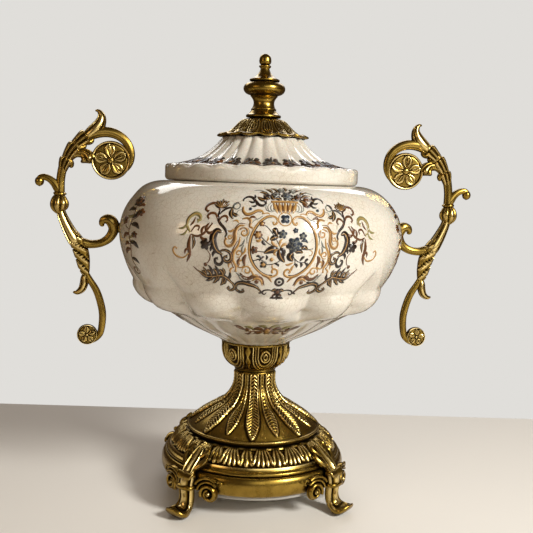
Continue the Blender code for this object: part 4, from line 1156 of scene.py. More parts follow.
SCROLLS = (
    ("ochre band", (1.7, -9.6, 18.4, -8.6, 16.4, -6.8, 17.2, -6, 19.4, -7.4, 21.8, -10.4, 23, -14.4, 22.4,
     -18.8, 19.2, -22.8, 13.8, -25.4, 7.2, -26.4, 0, -26, -5.8, -24.2, -11.6, -20.6, -17.4, -15.8, -21.8,
     -10.8, -24.2, -6.2, -24.6, -3.2, -22.8, -2.8, -20.2, -4.4, -18.2, -6.6, -18.6, -7.2, -20.4, -6.2,
     -21.4)),
    ("black vine", (0.7, -10.4, 21.8, -14, 21.3, -18, 18.3, -21.8, 13.2, -24.3, 6.8, -25.3, 0, -24.9, -5.6,
     -23.1, -11.2, -19.6, -16.7, -15.2, -20.7, -10.6, -23, -6.4, -23.4)),
    ("ochre vine", (2.2, -34.2, 30.4, -33.6, 26.6, -30.6, 24, -26.6, 24.8, -22.6, 27.4, -18.8, 27, -17.4,
     24.4)),
    ("brown vine", (0.6, -35.2, 30, -34.6, 26, -31.2, 22.8, -26.8, 23.4, -22.4, 26, -19.2, 25.8)),
    ("ochre vine", (2.4, -33.8, 19.8, -29.4, 20.6, -26.8, 18, -27.2, 14.4, -24.6, 12.8), (2.6, -31.4, 14.6,
     -35.2, 14.2, -37.9, 10, -37.6, 4, -39.8, -0.6, -43.8, -1.2, -45.6, 2, -44.4, 4.8)),
    ("brown vine", (0.7, -30.6, 16.2, -35.8, 15.8, -39.4, 10.4, -39.2, 4.4, -41, 1.2)),
    ("ochre curl", (1.2, -41.8, 5.6, 2, 60, -420), (1.5, -31, 9.4, 3.9, 150, -450)),
    ("brown curl", (0.6, -31, 9.4, 5, 170, -170)),
    ("ochre vine", (2.2, -33.6, 6, -34.6, 0, -37.6, -5.4, -38.4, -11.6, -35.8, -17, -36, -21.6)),
    ("brown vine", (0.8, -35.4, 3, -38.6, -3.6, -40.2, -11.6, -37.6, -18.4)),
    ("ochre curl", (1.3, -34, -6.6, 3.2, -120, 430), (1.5, -31.8, -14.2, 4.2, 190, 400)),
    ("brown leaf", (2.4, -28, -7, -29.8, -11, -28.8, -16.8)),
    ("ochre curl", (1.5, -26.8, -20, 4, 200, -430)),
    ("brown leaf", (2.6, -32.4, -22.4, -28.6, -26.6, -23.4, -26.4, -20, -23.6), (3.2, -26.4, -28.2, -21.4,
     -25, -15.6, -26.4, -12, -32.6)),
    ("ochre leaf", (2.2, -22.6, -29.2, -19, -26.6, -15.2, -28.2, -13.4, -33.2), (2.4, -15, -23.4, -9.6, -25,
     -6.2, -29.6)),
    ("brown blot", (1.7, -18.6, -29.6)),
    ("grey leaf", (1.4, -30, 4.6, -31.6, 0.4, -34.8, -1.6), (1.4, -30.4, 0.2, -31.8, -3.4, -30.8, -6.4)),
    ("ochre leaf", (1.8, -29, -1.6, -29.4, -5, -32.6, -8.6)),
    ("brown leaf", (1.5, -32.8, -9.8, -34.6, -13.4, -33.4, -17.4)),
    ("ochre leaf", (1.8, -38.8, -13.4, -41.6, -15.4, -41.4, -18.8), (1.6, -37.6, -17.6, -40.4, -20.2, -39.6,
     -23.2)),
    ("grey leaf", (1.3, -35.4, -22.4, -33, -24.6, -29.8, -24.2), (1.3, -33.8, -25, -31, -28.6, -26.6,
     -29.6)),
    ("ochre leaf", (1.6, -23.6, -19.4, -21.4, -23.4, -16.8, -24.6), (1.8, -39, 12, -41.4, 9.8, -44.6, 10.2),
     (1.5, -35.8, 16.4, -38, 18.4, -41.2, 17.6)),
    ("brown leaf", (1.6, -28.6, 20.4, -25.6, 22, -22.4, 20.6)),
    ("grey vine", (0.7, -26, 16.6, -24, 19.2, -20.6, 20.6, -18, 22.8), (0.7, -28, 13, -27, 9.2, -28.4, 5.6,
     -28, 1.4)),
    ("ochre vine", (1, -17.8, 24.4, -14.6, 25.4, -12.4, 24.6)),
    ("grey vine", (0.6, -36.4, 22, -38.8, 23.6, -38, 26.6, -35.6, 27.4)),
    ("black vine", (2.2, -35.4, 35.4, -34.8, 38.2, -31.4, 40.4, -27.6, 39.4, -24.6, 35.8, -21.4, 32.4, -18,
     32, -16, 34.2, -16.8, 36.2)),
    ("black leaf", (1.8, -26.4, 37.4, -25.6, 40.4, -26.2, 43.2), (1.6, -24.4, 35.4, -27.6, 34.6, -30.8, 36),
     (1.6, -22.8, 33.6, -24.8, 31.2, -28, 31)),
    ("blue blot", (1.3, -28.2, 28.4)),
    ("grey vine", (0.7, -7, 28.6, -9, 28.4, -9.6, 30), (0.8, -8.4, 27, -11.2, 27.8, -11.8, 31.4, -9.8,
     33.2), (0.8, -10.4, 26.2, -13.4, 27.6, -14.2, 31.6, -11.8, 34.8), (0.8, -12.8, 26.4, -15.6, 28.6,
     -15.8, 32.4)),
    ("black leaf", (5, -48.6, 8.8, -52.8, 9.6, -55.6, 5, -54.4, -1, -51.4, -5.6, -46.8, -8.2), (2.2, -53.8,
     3.2, -57.2, 1.6, -58.6, -1.4), (2.2, -53, -1.4, -56.4, -3.4, -57.2, -6.4), (2.2, -51.2, -5, -54.6,
     -7.6, -55, -10.6)),
    ("black vine", (2.4, -49.6, -6, -45.6, -4.6, -41, -6.4, -39.6, -10.6, -42.2, -13.8, -45.4, -12.6, -45,
     -9.8, -42.8, -9.6), (2.2, -48.4, -8, -46.6, -13, -49, -16.4, -52.6, -15.4, -53, -12, -50.6, -11.4),
     (1.9, -46, 5, -44.8, 7.8, -46.8, 11.6, -51.2, 15.4, -53.8, 20, -53.6, 26, -53.2, 31)),
    ("brown vine", (2.3, -53.8, 26.4, -56.6, 30.8, -61.4, 32.4, -65.8, 30.2, -66.4, 26.2, -63.2, 24.6),
     (1.9, -54, 19, -56.8, 23, -61, 23.4, -63.2, 20.8, -61.4, 18.6)),
    ("black vine", (1.6, -53.2, 22.6, -50.6, 26.2, -46.4, 28.6, -42.4, 28.4)),
    ("brown vine", (1.6, -52.8, 15.8, -51.2, 20.2, -47.6, 21.6, -45.4, 19, -46.8, 16.8)),
    ("black leaf", (3.4, -43.2, 28.4, -43.6, 23.8, -41.2, 19.4), (2.6, -42.4, 24.6, -39.8, 22.6, -37.4,
     22.8)),
    ("grey ring", (1, -39.8, 30.6, 2.8)), ("black leaf", (1.8, -43.4, 28.4, -41.8, 32.4, -38.8, 34.2)),
    ("black petals", (4.6, -61.8, -1.2, 5, 10)),
    ("brown vine", (0.8, -60.6, -5, -57.4, -9, -58.2, -13.8, -61.2, -16.8)),
    ("brown blot", (1.6, -61.6, -17.2)),
    ("black leaf", (3.6, -69, -22.6, -62.4, -27.2, -54.6, -27, -47.6, -25.8, -42, -28.8, -38.2, -34), (2.8,
     -61, -27, -62.6, -24.4, -65.6, -22.4), (3.2, -56.4, -26.8, -57.6, -23.6, -60.4, -21.4), (3.4, -51.4,
     -26, -52.2, -22.8, -54.8, -20.2), (3.4, -46.6, -26.2, -47.2, -22.8, -49.6, -20.4), (2.8, -50, -26.4,
     -51.4, -29.4, -54.2, -31), (2.6, -55.2, -27, -57.2, -29.4, -60, -30.4), (2.8, -44.4, -28, -45.4, -31.4,
     -48, -33.4)),
    ("brown vine", (1, -73, -19.6, -69, -23, -64, -26.4)),
    ("black leaf", (2.4, -61.6, -26.6, -61.8, -23, -64.2, -19.4), (2.2, -56.6, -26.6, -56.4, -21.6, -59.2,
     -17.4), (2.2, -51.4, -25.8, -51, -21.4, -53.4, -17.4), (2.4, -46.4, -26, -45.4, -22.2, -46.8, -18.8),
     (2.2, -42.6, -28.6, -40.6, -25.8, -40.6, -22.2), (2.2, -57.6, -27.6, -59.4, -30.4, -62.6, -31.2), (2.4,
     -52.2, -27, -53.2, -31, -56.2, -33.2), (2.4, -46.8, -27.4, -47, -32, -49.6, -35)),
    ("black vine", (2.4, -42, -29.6, -38.6, -32.6, -37.8, -37, -40.8, -39.2, -43.2, -37.2, -41.6, -35.4)),
    ("black leaf", (3.4, -36.4, -37.4, -35.6, -33, -30.2, -31.2, -24, -32.4, -18, -34.6, -14.8, -38.6)),
    ("black vine", (2.4, -36, -34.6, -36.2, -38.6, -33, -41, -29.8, -39.8, -30.8, -37.6)),
    ("black leaf", (1.6, -27.4, -32, -25.6, -29.8, -23, -29.4)),
    ("black vine", (1.5, -15.6, -36.4, -14, -39.6, -16, -40.4), (1.3, -9.4, -39.4, -10.8, -41.2, -12.8,
     -40.2, -11.8, -37.6, -7.6, -36.8, -3.6, -38)),
    ("black leaf", (2.6, 0, -38, -3, -36.6, -5.2, -38.4), (2.2, 0, -45, -3.4, -44.4, -6, -45.2)),
    ("brown leaf", (1.8, 0, -41, -2.6, -41.6, -4.2, -43.2)),
    ("olive vine", (3.4, -75.8, 7.4, -79.4, 12, -79.6, 18, -75.4, 22.2, -70.6, 21.2, -68.8, 17.8, -71.6,
     16.4)),
    ("olive leaf", (2, -79.4, 14, -82.6, 10.4, -87.2, 9.8), (1.8, -78.4, 10.4, -80.8, 6, -85, 4.6)),
    ("brown leaf", (1.6, -77, 12.4, -74.6, 15.6, -73.8, 19.4)),
    ("brown vine", (1.4, -75.4, 7.6, -72.4, 12.4, -68.8, 12, -69.4, 9), (1.6, -75, 6, -69.6, 4.6, -64, 7,
     -60.4, 11.4, -57.6, 15.4)),
    ("brown leaf", (2, -65.8, 6.4, -66, 10.2, -63.8, 13.2), (2, -62.6, 8.6, -62.6, 12.2, -60.2, 15.6), (2,
     -67.2, 5.2, -64, 2.6, -60.6, 3.4), (2, -62, 8.8, -58.8, 7.6, -56.4, 9.4)),
    ("black leaf", (2.4, -73.6, 5, -71.6, 0, -73, -5.6)),
    ("brown leaf", (2.8, -75.4, 5.6, -76.4, -3, -75.6, -10, -78.6, -16.4), (1.6, -76.2, -4.6, -79.2, -6.8,
     -79.8, -9.8)),
    ("ochre vine", (1.7, -76.4, -9, -81, -12.8, -87, -12.2, -90.6, -8.2, -89, -4.8, -86.6, -6)),
)

BOUQUET = (
    ("black vine", (0.6, -2.8, -1, -6.6, 5.6, -12.8, 13.4, -17.4, 16.2), (0.6, -4, -1.6, -11, 1.2, -15.8,
     4.8, -19, 8), (0.6, -4, -3, -13, -4.6, -22, -4.2), (0.6, 2, -6, -3.8, -12.6, -10.8, -14.6, -14, -13.8),
     (0.6, 6, -6, 12, -11.6, 18.2, -12.4), (0.6, 12, -2, 18.4, -2.4, 23.2, -1.6), (0.6, 8, -7, 10, -12, 9,
     -16.8)),
    ("black leaf", (4, -9.6, 12.8, -7.4, 11.4, -5.4, 8), (3.6, -11, 4.6, -7.6, 6.4, -4.6, 6.8), (4.8, -4.4,
     -2.8, -9.4, -2.8, -14.8, -5.6), (4.4, -3.4, -2, -2, -7.6, 1.8, -12.4), (2.2, -3, -1.4, 0.2, -3.4, 0.8,
     -7), (4.8, 7.6, -4.6, 5.4, -8, 8.2, -11.4), (3, 9, -4.6, 12, -3.6, 15.4, -4.8), (2.8, 13.4, -1.4, 16.4,
     -0.6, 19, -2.6)),
    ("ochre leaf", (2, -4.6, -0.6, -8.6, 1.8, -10, 4.2), (1.8, -4.8, -2, -7, -5.4, -5.2, -7.4), (1.8, -3.6,
     0, -3.2, 3.6, -1.4, 5.8), (2, -2.8, -1.2, 0, 1.4, 3.6, 1), (1.8, 9, -12.4, 4.8, -14.4, 2.6, -14.2),
     (1.8, 9.6, -14.4, 8, -17.6, 8.4, -19.2)),
    ("black leaf", (1.8, 9.8, -13, 11.6, -14.8, 12, -16.6), (1.8, 14.2, -12, 15.6, -14.2, 15.2, -16.4),
     (1.8, 13.6, -11.4, 15.8, -8.4, 17.2, -7.8), (1.7, 17.8, -12.4, 19.4, -10, 20.4, -10.6), (1.7, 17.8,
     -12.4, 20.2, -14, 19.8, -16)),
    ("ochre vine", (0.8, 19, -2.2, 22.6, -3.6, 22.8, -6.4, 20.8, -7)),
    ("black leaf", (1.5, -14.2, -8.2, -16.6, -9.4, -17.8, -12.2), (1.5, -15.4, -9.6, -18.8, -8, -20.4,
     -8.6)),
    ("black vine", (0.8, -14, -12, -18, -10.6, -22.4, -12)),
    ("black leaf", (1.5, -12.8, -10.8, -12, -8.6, -13.2, -7)), ("ochre blot", (1.5, -8.4, -10.4)),
    ("black leaf", (1.6, -6.2, -13.2, -3.4, -14.2, -2.4, -16)),
    ("ochre leaf", (1.4, -7.6, -14.4, -7.4, -16.6, -6, -18)),
    ("black leaf", (2, -16.4, 4.2, -16, 2.2, -13.8, 0.4)),
    ("ochre leaf", (1.4, -13.4, 3.2, -12.4, 5.6, -12.8, 7.4)), ("brown petals", (2.3, -17.8, 16.6, 5, 20)),
    ("ochre petals", (1.3, -17.8, 16.6, 5, 50)), ("brown petals", (3.4, -20.2, 8, 6, 0)),
    ("ochre petals", (2.2, -20.2, 8, 6, 30)), ("ochre leaf", (2.2, -17, 4.8, -19.8, 3.4, -21.6, 4.4)),
    ("brown petals", (3.2, -22.4, -3.4, 5, 40)), ("black blot", (1.2, -22.4, -3.4)),
    ("black petals", (3, -14.4, -14.6, 4, 45)), ("ochre petals", (1.7, -14.4, -14.6, 4, 0)),
    ("blue petals", (3.6, -1.6, 9, 5, 15)), ("grey petals", (2.5, -1.6, 9, 5, 50)),
    ("blue blot", (1.1, -1.6, 9)), ("blue petals", (6.6, 8, 0.8, 6, 8)),
    ("grey petals", (5.2, 8, 0.9, 6, 38)), ("blue petals", (4.6, 8, 1, 6, 20)),
    ("grey petals", (2.6, 8, 1.2, 5, 50)), ("blue blot", (1.5, 8, 1.2)),
    ("blue petals", (3.2, 14.4, 7.8, 5, 10)), ("grey petals", (1.9, 14.4, 7.8, 5, 40)),
    ("blue petals", (2.2, 8.4, 12, 5, 30)), ("blue leaf", (2.2, 13, 4, 16.4, 4.6, 18.6, 2.8)),
)

BASKET = (
    ("black petals", (5.6, 2.6, 42.6, 6, 0)), ("grey petals", (4.4, 2.6, 42.8, 6, 30)),
    ("blue petals", (3.2, 2.6, 43, 5, 0)), ("grey blot", (1, 2.6, 43)),
    ("black petals", (4.4, -7.4, 43.6, 5, 20)), ("grey petals", (2.9, -7.4, 43.8, 5, 55)),
    ("black blot", (1.2, -7.4, 43.8)), ("black petals", (4.2, 12.4, 41.2, 5, 10)),
    ("brown petals", (2.7, 12.4, 41.2, 5, 45)), ("black blot", (1.1, 12.4, 41.2)),
    ("black petals", (3.8, -2.4, 49.8, 5, 30)), ("grey petals", (2.4, -2.4, 49.8, 5, 0)),
    ("black petals", (3.6, 8.4, 49, 5, 0)), ("grey petals", (2.2, 8.4, 49, 5, 30)),
    ("black petals", (2.8, -14.8, 42.4, 5, 10)), ("brown petals", (2.6, 19.4, 39, 5, 30)),
    ("black leaf", (3.6, -12.6, 38.4, -16, 40.2, -18.2, 44.2), (3.4, -15, 37.6, -19.6, 38, -23.8, 40.8), (3,
     -14, 43.6, -17.8, 46.2, -22.2, 46.4), (3, -10.6, 46, -12.8, 49.6, -16.8, 51), (3.4, -8.6, 38, -10.4,
     40.4, -11.6, 44), (3.2, -3, 37.6, -5, 39.4, -9.6, 39.6), (2.8, -5, 47, -7.6, 51.4, -12, 53), (2.8, 2,
     48.6, 2.6, 52.6, 0.2, 55.4), (2.8, 9.6, 47, 13.4, 50.8, 18.2, 51.4), (3.2, 12.6, 38, 16.2, 36.8, 20.8,
     34), (3, 15.6, 40.8, 19.8, 43, 24.4, 42.8), (3, 14.8, 43.8, 18.2, 47.2, 22.8, 48), (2.8, 18.8, 38.4,
     22.8, 38.8, 26.6, 37), (3.2, 6, 37.8, 8.6, 39.4, 12, 38.2)),
    ("brown leaf", (2.2, 15, 36.4, 18, 33.4, 19.2, 30.4)),
    ("grey leaf", (1.4, -17, 47.6, -22.4, 49.4, -27.6, 48.4), (1.4, 17.8, 46, 23.8, 46.6, 28.6, 44.4)),
    ("ochre band", (2, -11.8, 36, -6, 36.4, 0, 36.5, 6, 36.4, 11.8, 36)),
    ("brown vine", (0.6, -11.6, 34.8, -5, 35.2, 0, 35.3, 5, 35.2, 11.6, 34.8)),
    ("ochre ring", (0.9, 0, 20.8, 5.3)), ("blue petals", (4, 0, 20.8, 4, 45)),
    ("grey blot", (1.1, 0, 20.8)), ("black ring", (2, 0, -29.2, 3.2)), ("black blot", (1.2, 0, -29.2)),
    ("black petals", (3.6, 0, -38.8, 5, 90)), ("brown petals", (1.8, 0, -38.8, 5, 54)),
    ("black leaf", (2.2, 0, -40, 0.3, -43, 0, -46.6)),
)

SPRAY = (
    ("brown vine", (1.1, 2.6, -30, -1.8, -20, 0.8, -8, -1.2, 4, 1.2, 16, -0.6, 27)),
    ("black petals", (5.6, -0.8, 30.6, 6, 0)), ("brown petals", (4.2, -0.8, 30.8, 6, 30)),
    ("black blot", (1.6, -0.8, 30.8)), ("brown petals", (3.6, 7.4, 20.2, 5, 10)),
    ("black blot", (1.3, 7.4, 20.2)), ("brown petals", (3.8, -8.4, 12.2, 5, 40)),
    ("black blot", (1.3, -8.4, 12.2)),
    ("brown vine", (0.8, 0.8, 13, 4.8, 15.6, 7.2, 19.6), (0.8, -0.8, 5, -5.4, 7.2, -8.2, 11.4)),
    ("black leaf", (3.8, 0.4, 22, -4.4, 23, -8.2, 20.6), (3.8, 0.6, 9.6, 5.6, 9.8, 9.2, 6.6)),
    ("brown leaf", (3.6, -0.8, 1.6, -5.4, 0.6, -8.6, -3)),
    ("black leaf", (3.8, 0.4, -5, 5.2, -5.4, 8.4, -9.2)),
    ("brown leaf", (3.6, 0.2, -11, -4.8, -12, -7.8, -15.8)),
    ("black leaf", (3.2, -1.6, -19, 2.8, -19.6, 5.6, -23)),
    ("brown curl", (1.4, -1.4, -29.8, 4.2, 0, -420)),
    ("olive leaf", (2.4, 1.4, 18, -2.6, 15.6, -6.2, 16.4)),
    ("brown leaf", (3.4, 0.8, 25.4, 5, 27.4, 8.4, 26.2)),
    ("black leaf", (3.2, -0.4, 14.8, 3.6, 17.6, 4, 21.4)),
    ("brown leaf", (3.2, -0.4, -7, -3.8, -6, -7.2, -8.6)), ("brown petals", (3, 5.2, 1.4, 5, 20)),
    ("black blot", (1.1, 5.2, 1.4)), ("olive leaf", (2.2, 0, -2, 3.8, 0.2, 7, -0.8)),
)

DOTS = {"blot": 30, "petals": 12}               # filled kinds, with the degrees between points of the rim
WOUND = {"curl": "vine", "ring": "band"}        # kinds on a circle, with the kind of line they are drawn as
GARLAND_RADIUS = 66                             # millimetres, where the garland is true to its drawing


def strokes_of(*groups):
    """The strokes of groups of rows, each (ink, kind, width, numbers)."""
    return [(*look.split(), row[0], row[1:]) for look, *rows in groups for row in rows]


def carried(strokes, shift=0.0, sign=1):
    """The strokes moved across the sheet by shift, and mirrored about its middle first if sign is -1."""
    copies = []
    for ink, kind, width, given in strokes:
        numbers = list(given)
        for i in (0,) if kind in DOTS or kind in WOUND else range(0, len(numbers), 2):
            numbers[i] = shift + sign * numbers[i]
        if kind == "curl" and sign < 0:
            numbers[3:] = 180 - numbers[3], -numbers[4]
        copies.append((ink, kind, width, numbers))
    return copies


def outline_of(kind, width, given):
    """A stroke's points and faces on the flat sheet."""
    x, y, *rest = given
    if kind in DOTS:
        turns = np.radians(np.arange(0, 360, DOTS[kind]))
        reach = width + 0 * turns
        if kind == "petals":
            count, first = rest
            wave = np.abs(np.cos(0.5 * count * (turns - math.radians(first)))) ** 0.6
            reach = width * (0.52 + 0.48 * wave)
        rim = np.stack([x + reach * np.cos(turns), y + reach * np.sin(turns)], axis=1)
        last = len(turns)
        return np.vstack([rim, [(x, y)]]), [(last, i, (i + 1) % last) for i in range(last)]
    if kind in WOUND:
        radius, first, sweep = rest if kind == "curl" else (*rest, 0, 360)
        share = np.linspace(0, 1, max(12, int(abs(sweep) / 18)))
        turns = np.radians(first + sweep * share)
        reach = radius * (1 - 0.72 * share) if kind == "curl" else radius + 0 * share
        line = np.stack([x + reach * np.cos(turns), y + reach * np.sin(turns)], axis=1)
        kind = WOUND[kind]
    else:
        line = curve_through(np.reshape(given, (-1, 2)), 4)
    _, aside = headings(line)
    share = np.linspace(0, 1, len(line))
    profile = {"band": 1 + 0 * share, "vine": 0.45 + 0.55 * np.sin(math.pi * share),
               "rib": np.sin(math.pi * (0.1 + 0.8 * share)),
               "leaf": np.sin(math.pi * (0.03 + 0.94 * share ** 0.85)) ** 0.75}[kind]
    if kind == "vine":
        profile = np.maximum(profile, 1.25 * ridge(share - 0.985, 0.05))
    side = aside * (0.5 * width * profile)[:, None]
    count = len(line)
    faces = [(count + i, count + i + 1, i + 1, i) for i in range(count - 1)]
    return np.vstack([line + side, line - side]), faces


def lay(name, strokes, point_at):
    """Lay strokes on a surface: one closed thin film for each ink. point_at(across, up, lift)."""
    for ink in INKS:
        points, faces, lift = [], [], []
        for number, (colour, kind, width, given) in enumerate(strokes):
            if colour != ink:
                continue
            level = {"petals": 14 - 1.2 * width, "blot": 15, "rib": 7}.get(kind, number % 4)
            flat, joined = outline_of(kind, width, given)
            start = sum(len(part) for part in points)
            points.append(flat)
            lift.append(np.full(len(flat), (0.08 + 0.02 * level) * MM))
            faces += [tuple(start + i for i in face) for face in joined]
        if not points:
            continue
        flat = np.vstack(points) * MM
        mesh = mesh_of(name + "_" + ink, point_at(flat[:, 0], flat[:, 1], np.concatenate(lift)), faces)
        mesh.materials.append(shared("fired_enamel_" + ink, ink_material, "fired_enamel_" + ink, *INKS[ink]))
        film = new_object(name + "_" + ink, mesh)
        film.modifiers.new("Film", "SOLIDIFY").thickness = 0.4 * MM
        place(settle(film), "cream_glaze")


def ribbed(strokes):
    """The strokes, the dark ones a little bolder, with a fine line down the middle of each broad one."""
    bolder = []
    lines = []
    for ink, kind, width, given in strokes:
        dark = ink in ("black", "brown") and kind in ("leaf", "vine")
        bolder.append((ink, kind, 1.22 * width if dark else width, given))
        if kind in ("leaf", "vine", "band") and width >= 2.4 and ink in ("black", "ochre", "olive"):
            lines.append(("brown" if ink == "ochre" else "ochre", "rib", 0.16 * width, given))
    return bolder + lines


def carnation():
    """The fan of petals on the tall flower at each side of the print."""
    x, y = -53.2, 28.4
    petals = []
    for i in range(7):
        turn = math.radians(28 + 21 * i)
        reach = 7.6 + 1.2 * (i % 2)
        far = reach * math.cos(turn)
        tall = reach * math.sin(turn)
        petals.append(("black", "leaf", 3.0, (x, y, x + 0.5 * far, y + 0.5 * tall, x + far, y + tall)))
    return petals


def basket_flutes():
    """The basket's flutes, broad and narrow in turn, which lean inwards as they run down."""
    flutes = []
    for i in range(9):
        x = 2.5 * (i - 4)
        ink, width = ("brown", 1.5) if i % 2 else ("ochre", 2.8)
        flutes.append((ink, "leaf", width, (x, 35.6, 0.80 * x, 30.0, 0.62 * x, 25.4)))
    return flutes


def lid_garland():
    """The garland on the lid: across its lengths, and up from its lower edge."""
    second = 17.2               # across to the second flower of a length
    length = strokes_of(
        ("black petals", (4.2, 0, 3.8, 5, 90)), ("brown petals", (2.4, 0, 3.8, 5, 54)),
        ("ochre blot", (0.9, 0, 3.8)), ("black petals", (3.6, second, 3.6, 5, 90)),
        ("brown blot", (1.2, second, 3.6)), ("black leaf", (2.4, 0, 5, -0.6, 8.4, 0.8, 11.2),
         (2.2, second, 4.4, second - 0.6, 7.4, second + 0.6, 9.8)))
    for side in (-1, 1):
        for start, tone in ((0, "black"), (second, "brown")):
            length += carried(strokes_of(
                ("black leaf", (4.2, 2, 2.6, 5.4, 3, 8.9, 0.6)),
                (tone + " leaf", (3.8, 2.4, 4.6, 5.2, 6.4, 8.4, 5.4)),
                ("black leaf", (3.2, 1.6, 6, 3.6, 8.6, 6.4, 9.4), (2.8, 1.4, 2, 3, 0.2, 5.6, -0.6)),
                ("brown vine", (1.8, 0, -1.2, 3.4, -1, 6.6, 0.2, 8.6, 2.4))), start, side)
    step = 2 * math.pi * GARLAND_RADIUS / GARLANDS
    return [stroke for i in range(GARLANDS) for stroke in carried(length, i * step)]


def cone_sprig():
    """The sprig on the fluted cone, from its middle."""
    half = strokes_of(
        ("brown leaf", (4.2, 3.6, 0.6, 8.6, 2.4, 13.6, 0), (3.8, 4, -1.2, 8.4, -3, 12.6, -4)),
        ("olive leaf", (3.2, 12, 1, 15.4, 4, 19.6, 4.6)),
        ("brown vine", (1.3, 4, 0, 12, -1.6, 22, 1, 27, 3.2)), ("brown petals", (2.6, 18, 0.6, 5, 20)),
        ("brown leaf", (2.4, 20, 1.6, 24, 4.2, 28.4, 4.4), (2.2, 14, -1.4, 17.4, -4.4, 21, -4.4)))
    middle = strokes_of(
        ("brown petals", (5, 0, 0, 6, 0)), ("ochre petals", (2.6, 0, 0, 5, 30)),
        ("olive leaf", (3.4, -1, 2.4, -4, 5.4, -8.6, 5.8), (3.4, 1, 2.4, 4, 5.4, 8.6, 5.8)))
    return middle + carried(half, 0, -1) + half


def make_print():
    """The cartouche on the front and back, sprays between them, a garland on the lid, cone sprigs."""
    heights = np.linspace(LEDGE + 1 * MM, BOWL_TOP, 800)
    radii = bowl_radius(heights)
    lengths = distances(np.stack([radii, heights], axis=1))
    lengths = lengths - np.interp(BELLY, heights, lengths)
    half = ribbed(strokes_of(*SCROLLS) + carnation())
    sheet = half + carried(half, 0, -1) + basket_flutes() + ribbed(strokes_of(*BASKET, *BOUQUET))

    def on_bowl(turn, lean, wide=1.0):
        def point_at(across, up, lift):
            height = np.interp(up, lengths, heights)
            return bowl_point(turn + (wide * across + lean * up + 2 * MM) / BOWL_RADIUS, height, lift)
        return point_at

    lay("print_front", sheet, on_bowl(0, 0.05))
    lay("print_back", sheet, on_bowl(math.pi, 0.05))
    for name, turn in (("right", 64), ("back_right", 116), ("back_left", 244), ("left", 296)):
        lay("spray_" + name, strokes_of(*SPRAY), on_bowl(math.radians(turn), 0, 1.6))

    def on_lid(across, up, lift):
        return lid_point(across / (GARLAND_RADIUS * MM), LID_RADIUS - 11 * MM - 1.75 * up, lift)

    lay("garland", lid_garland(), on_lid)

    def on_cone(turn):
        def point_at(across, up, lift):
            height = LEDGE - 14 * MM + 0.95 * up
            cone = np.array(cone_line())[::-1]
            radius = np.interp(height, cone[:, 1], cone[:, 0])
            angle = turn + across / (76 * MM)
            out, _ = bowl_shape(angle, height)
            return around(radius + out + 0.5 * lift, angle, height - 0.85 * lift)
        return point_at

    for name, turn in (("front", 0), ("right", 90), ("back", 180), ("left", 270)):
        lay("cone_" + name, cone_sprig(), on_cone(math.radians(turn)))


# Settings

class UrnBowlSizes(bpy.types.PropertyGroup):
    """Depths of the bowl's shape."""
    lobe_depth: bpy.props.FloatProperty(
        name="Lobe Depth", description="Depth of the creases between the broad lobes",
        default=3.5 * MM, unit="LENGTH")
    gadroon_depth: bpy.props.FloatProperty(
        name="Gadroon Depth", description="Depth of the creases under the belly", default=6.8 * MM,
        unit="LENGTH")


class UrnGlaze(bpy.types.PropertyGroup):
    """Colours and crackle of the porcelain's glaze."""
    cream: bpy.props.StringProperty(name="Cream", description="Glaze where it is thin", default="#DAD6CD")
    warm: bpy.props.StringProperty(name="Warm", description="Glaze where it is thick", default="#CCC2B0")
    crackle_ink: bpy.props.StringProperty(
        name="Crackle Colour", description="Stain in the crackle", default="#8F7656")
    crackle: bpy.props.FloatProperty(
        name="Crackle Size", description="Width of a patch between crackle lines", default=4.6 * MM,
        unit="LENGTH")


class UrnBrass(bpy.types.PropertyGroup):
    """Colours and polish of the brass."""
    gold: bpy.props.StringProperty(name="Gold", description="Brass on level ground", default="#AC8D42")
    gold_worn: bpy.props.StringProperty(
        name="Worn Gold", description="Brass where it has dulled", default="#7B6223")
    gold_rubbed: bpy.props.StringProperty(
        name="Rubbed Gold", description="Brass on the ridges", default="#E6CB85")
    # The dark brass of the patina in the creases, also used for the painted shade on the collar and stem.
    patina_and_shade: bpy.props.StringProperty(name="Patina", description="Brass in the creases", default="#241704")
    polish: bpy.props.FloatProperty(name="Polish", description="Roughness of the rubbed brass", default=0.25)


class UrnStage(bpy.types.PropertyGroup):
    """The floor and the light."""
    floor: bpy.props.StringProperty(name="Floor", description="Colour of the floor", default="#E4DFD7")
    backdrop: bpy.props.StringProperty(
        name="Backdrop", description="Colour behind the urn", default="#E0DEDA")


# Operators

class URN_OT_bowl(bpy.types.Operator):
    """Make the lobed porcelain bowl"""
    bl_idname = "urn.bowl"
    bl_label = "Bowl"

    def execute(self, context):
        make_bowl()
        return {"FINISHED"}


class URN_OT_print(bpy.types.Operator):
    """Lay the transfer print on the bowl, its cone and the lid"""
    bl_idname = "urn.print"
    bl_label = "Transfer Print"

    def execute(self, context):
        make_print()
        return {"FINISHED"}


class URN_OT_lid(bpy.types.Operator):
    """Make the fluted porcelain lid"""
    bl_idname = "urn.lid"
    bl_label = "Lid"

    def execute(self, context):
        make_lid()
        return {"FINISHED"}


class URN_OT_crown(bpy.types.Operator):
    """Make the brass finial and its leafy skirt"""
    bl_idname = "urn.crown"
    bl_label = "Finial and Skirt"

    def execute(self, context):
        make_finial()
        make_skirt()
        return {"FINISHED"}


class URN_OT_stand(bpy.types.Operator):
    """Make the collar, stem, plinth and pad"""
    bl_idname = "urn.stand"
    bl_label = "Stand"

    def execute(self, context):
        make_collar()
        make_stem()
        make_plinth()
        make_pad()
        return {"FINISHED"}


class URN_OT_handles(bpy.types.Operator):
    """Make the two scroll handles"""
    bl_idname = "urn.handles"
    bl_label = "Handles"

    def execute(self, context):
        make_handles()
        return {"FINISHED"}


class URN_OT_feet(bpy.types.Operator):
    """Make the four scrolled feet"""
    bl_idname = "urn.feet"
    bl_label = "Feet"

    def execute(self, context):
        make_feet()
        return {"FINISHED"}


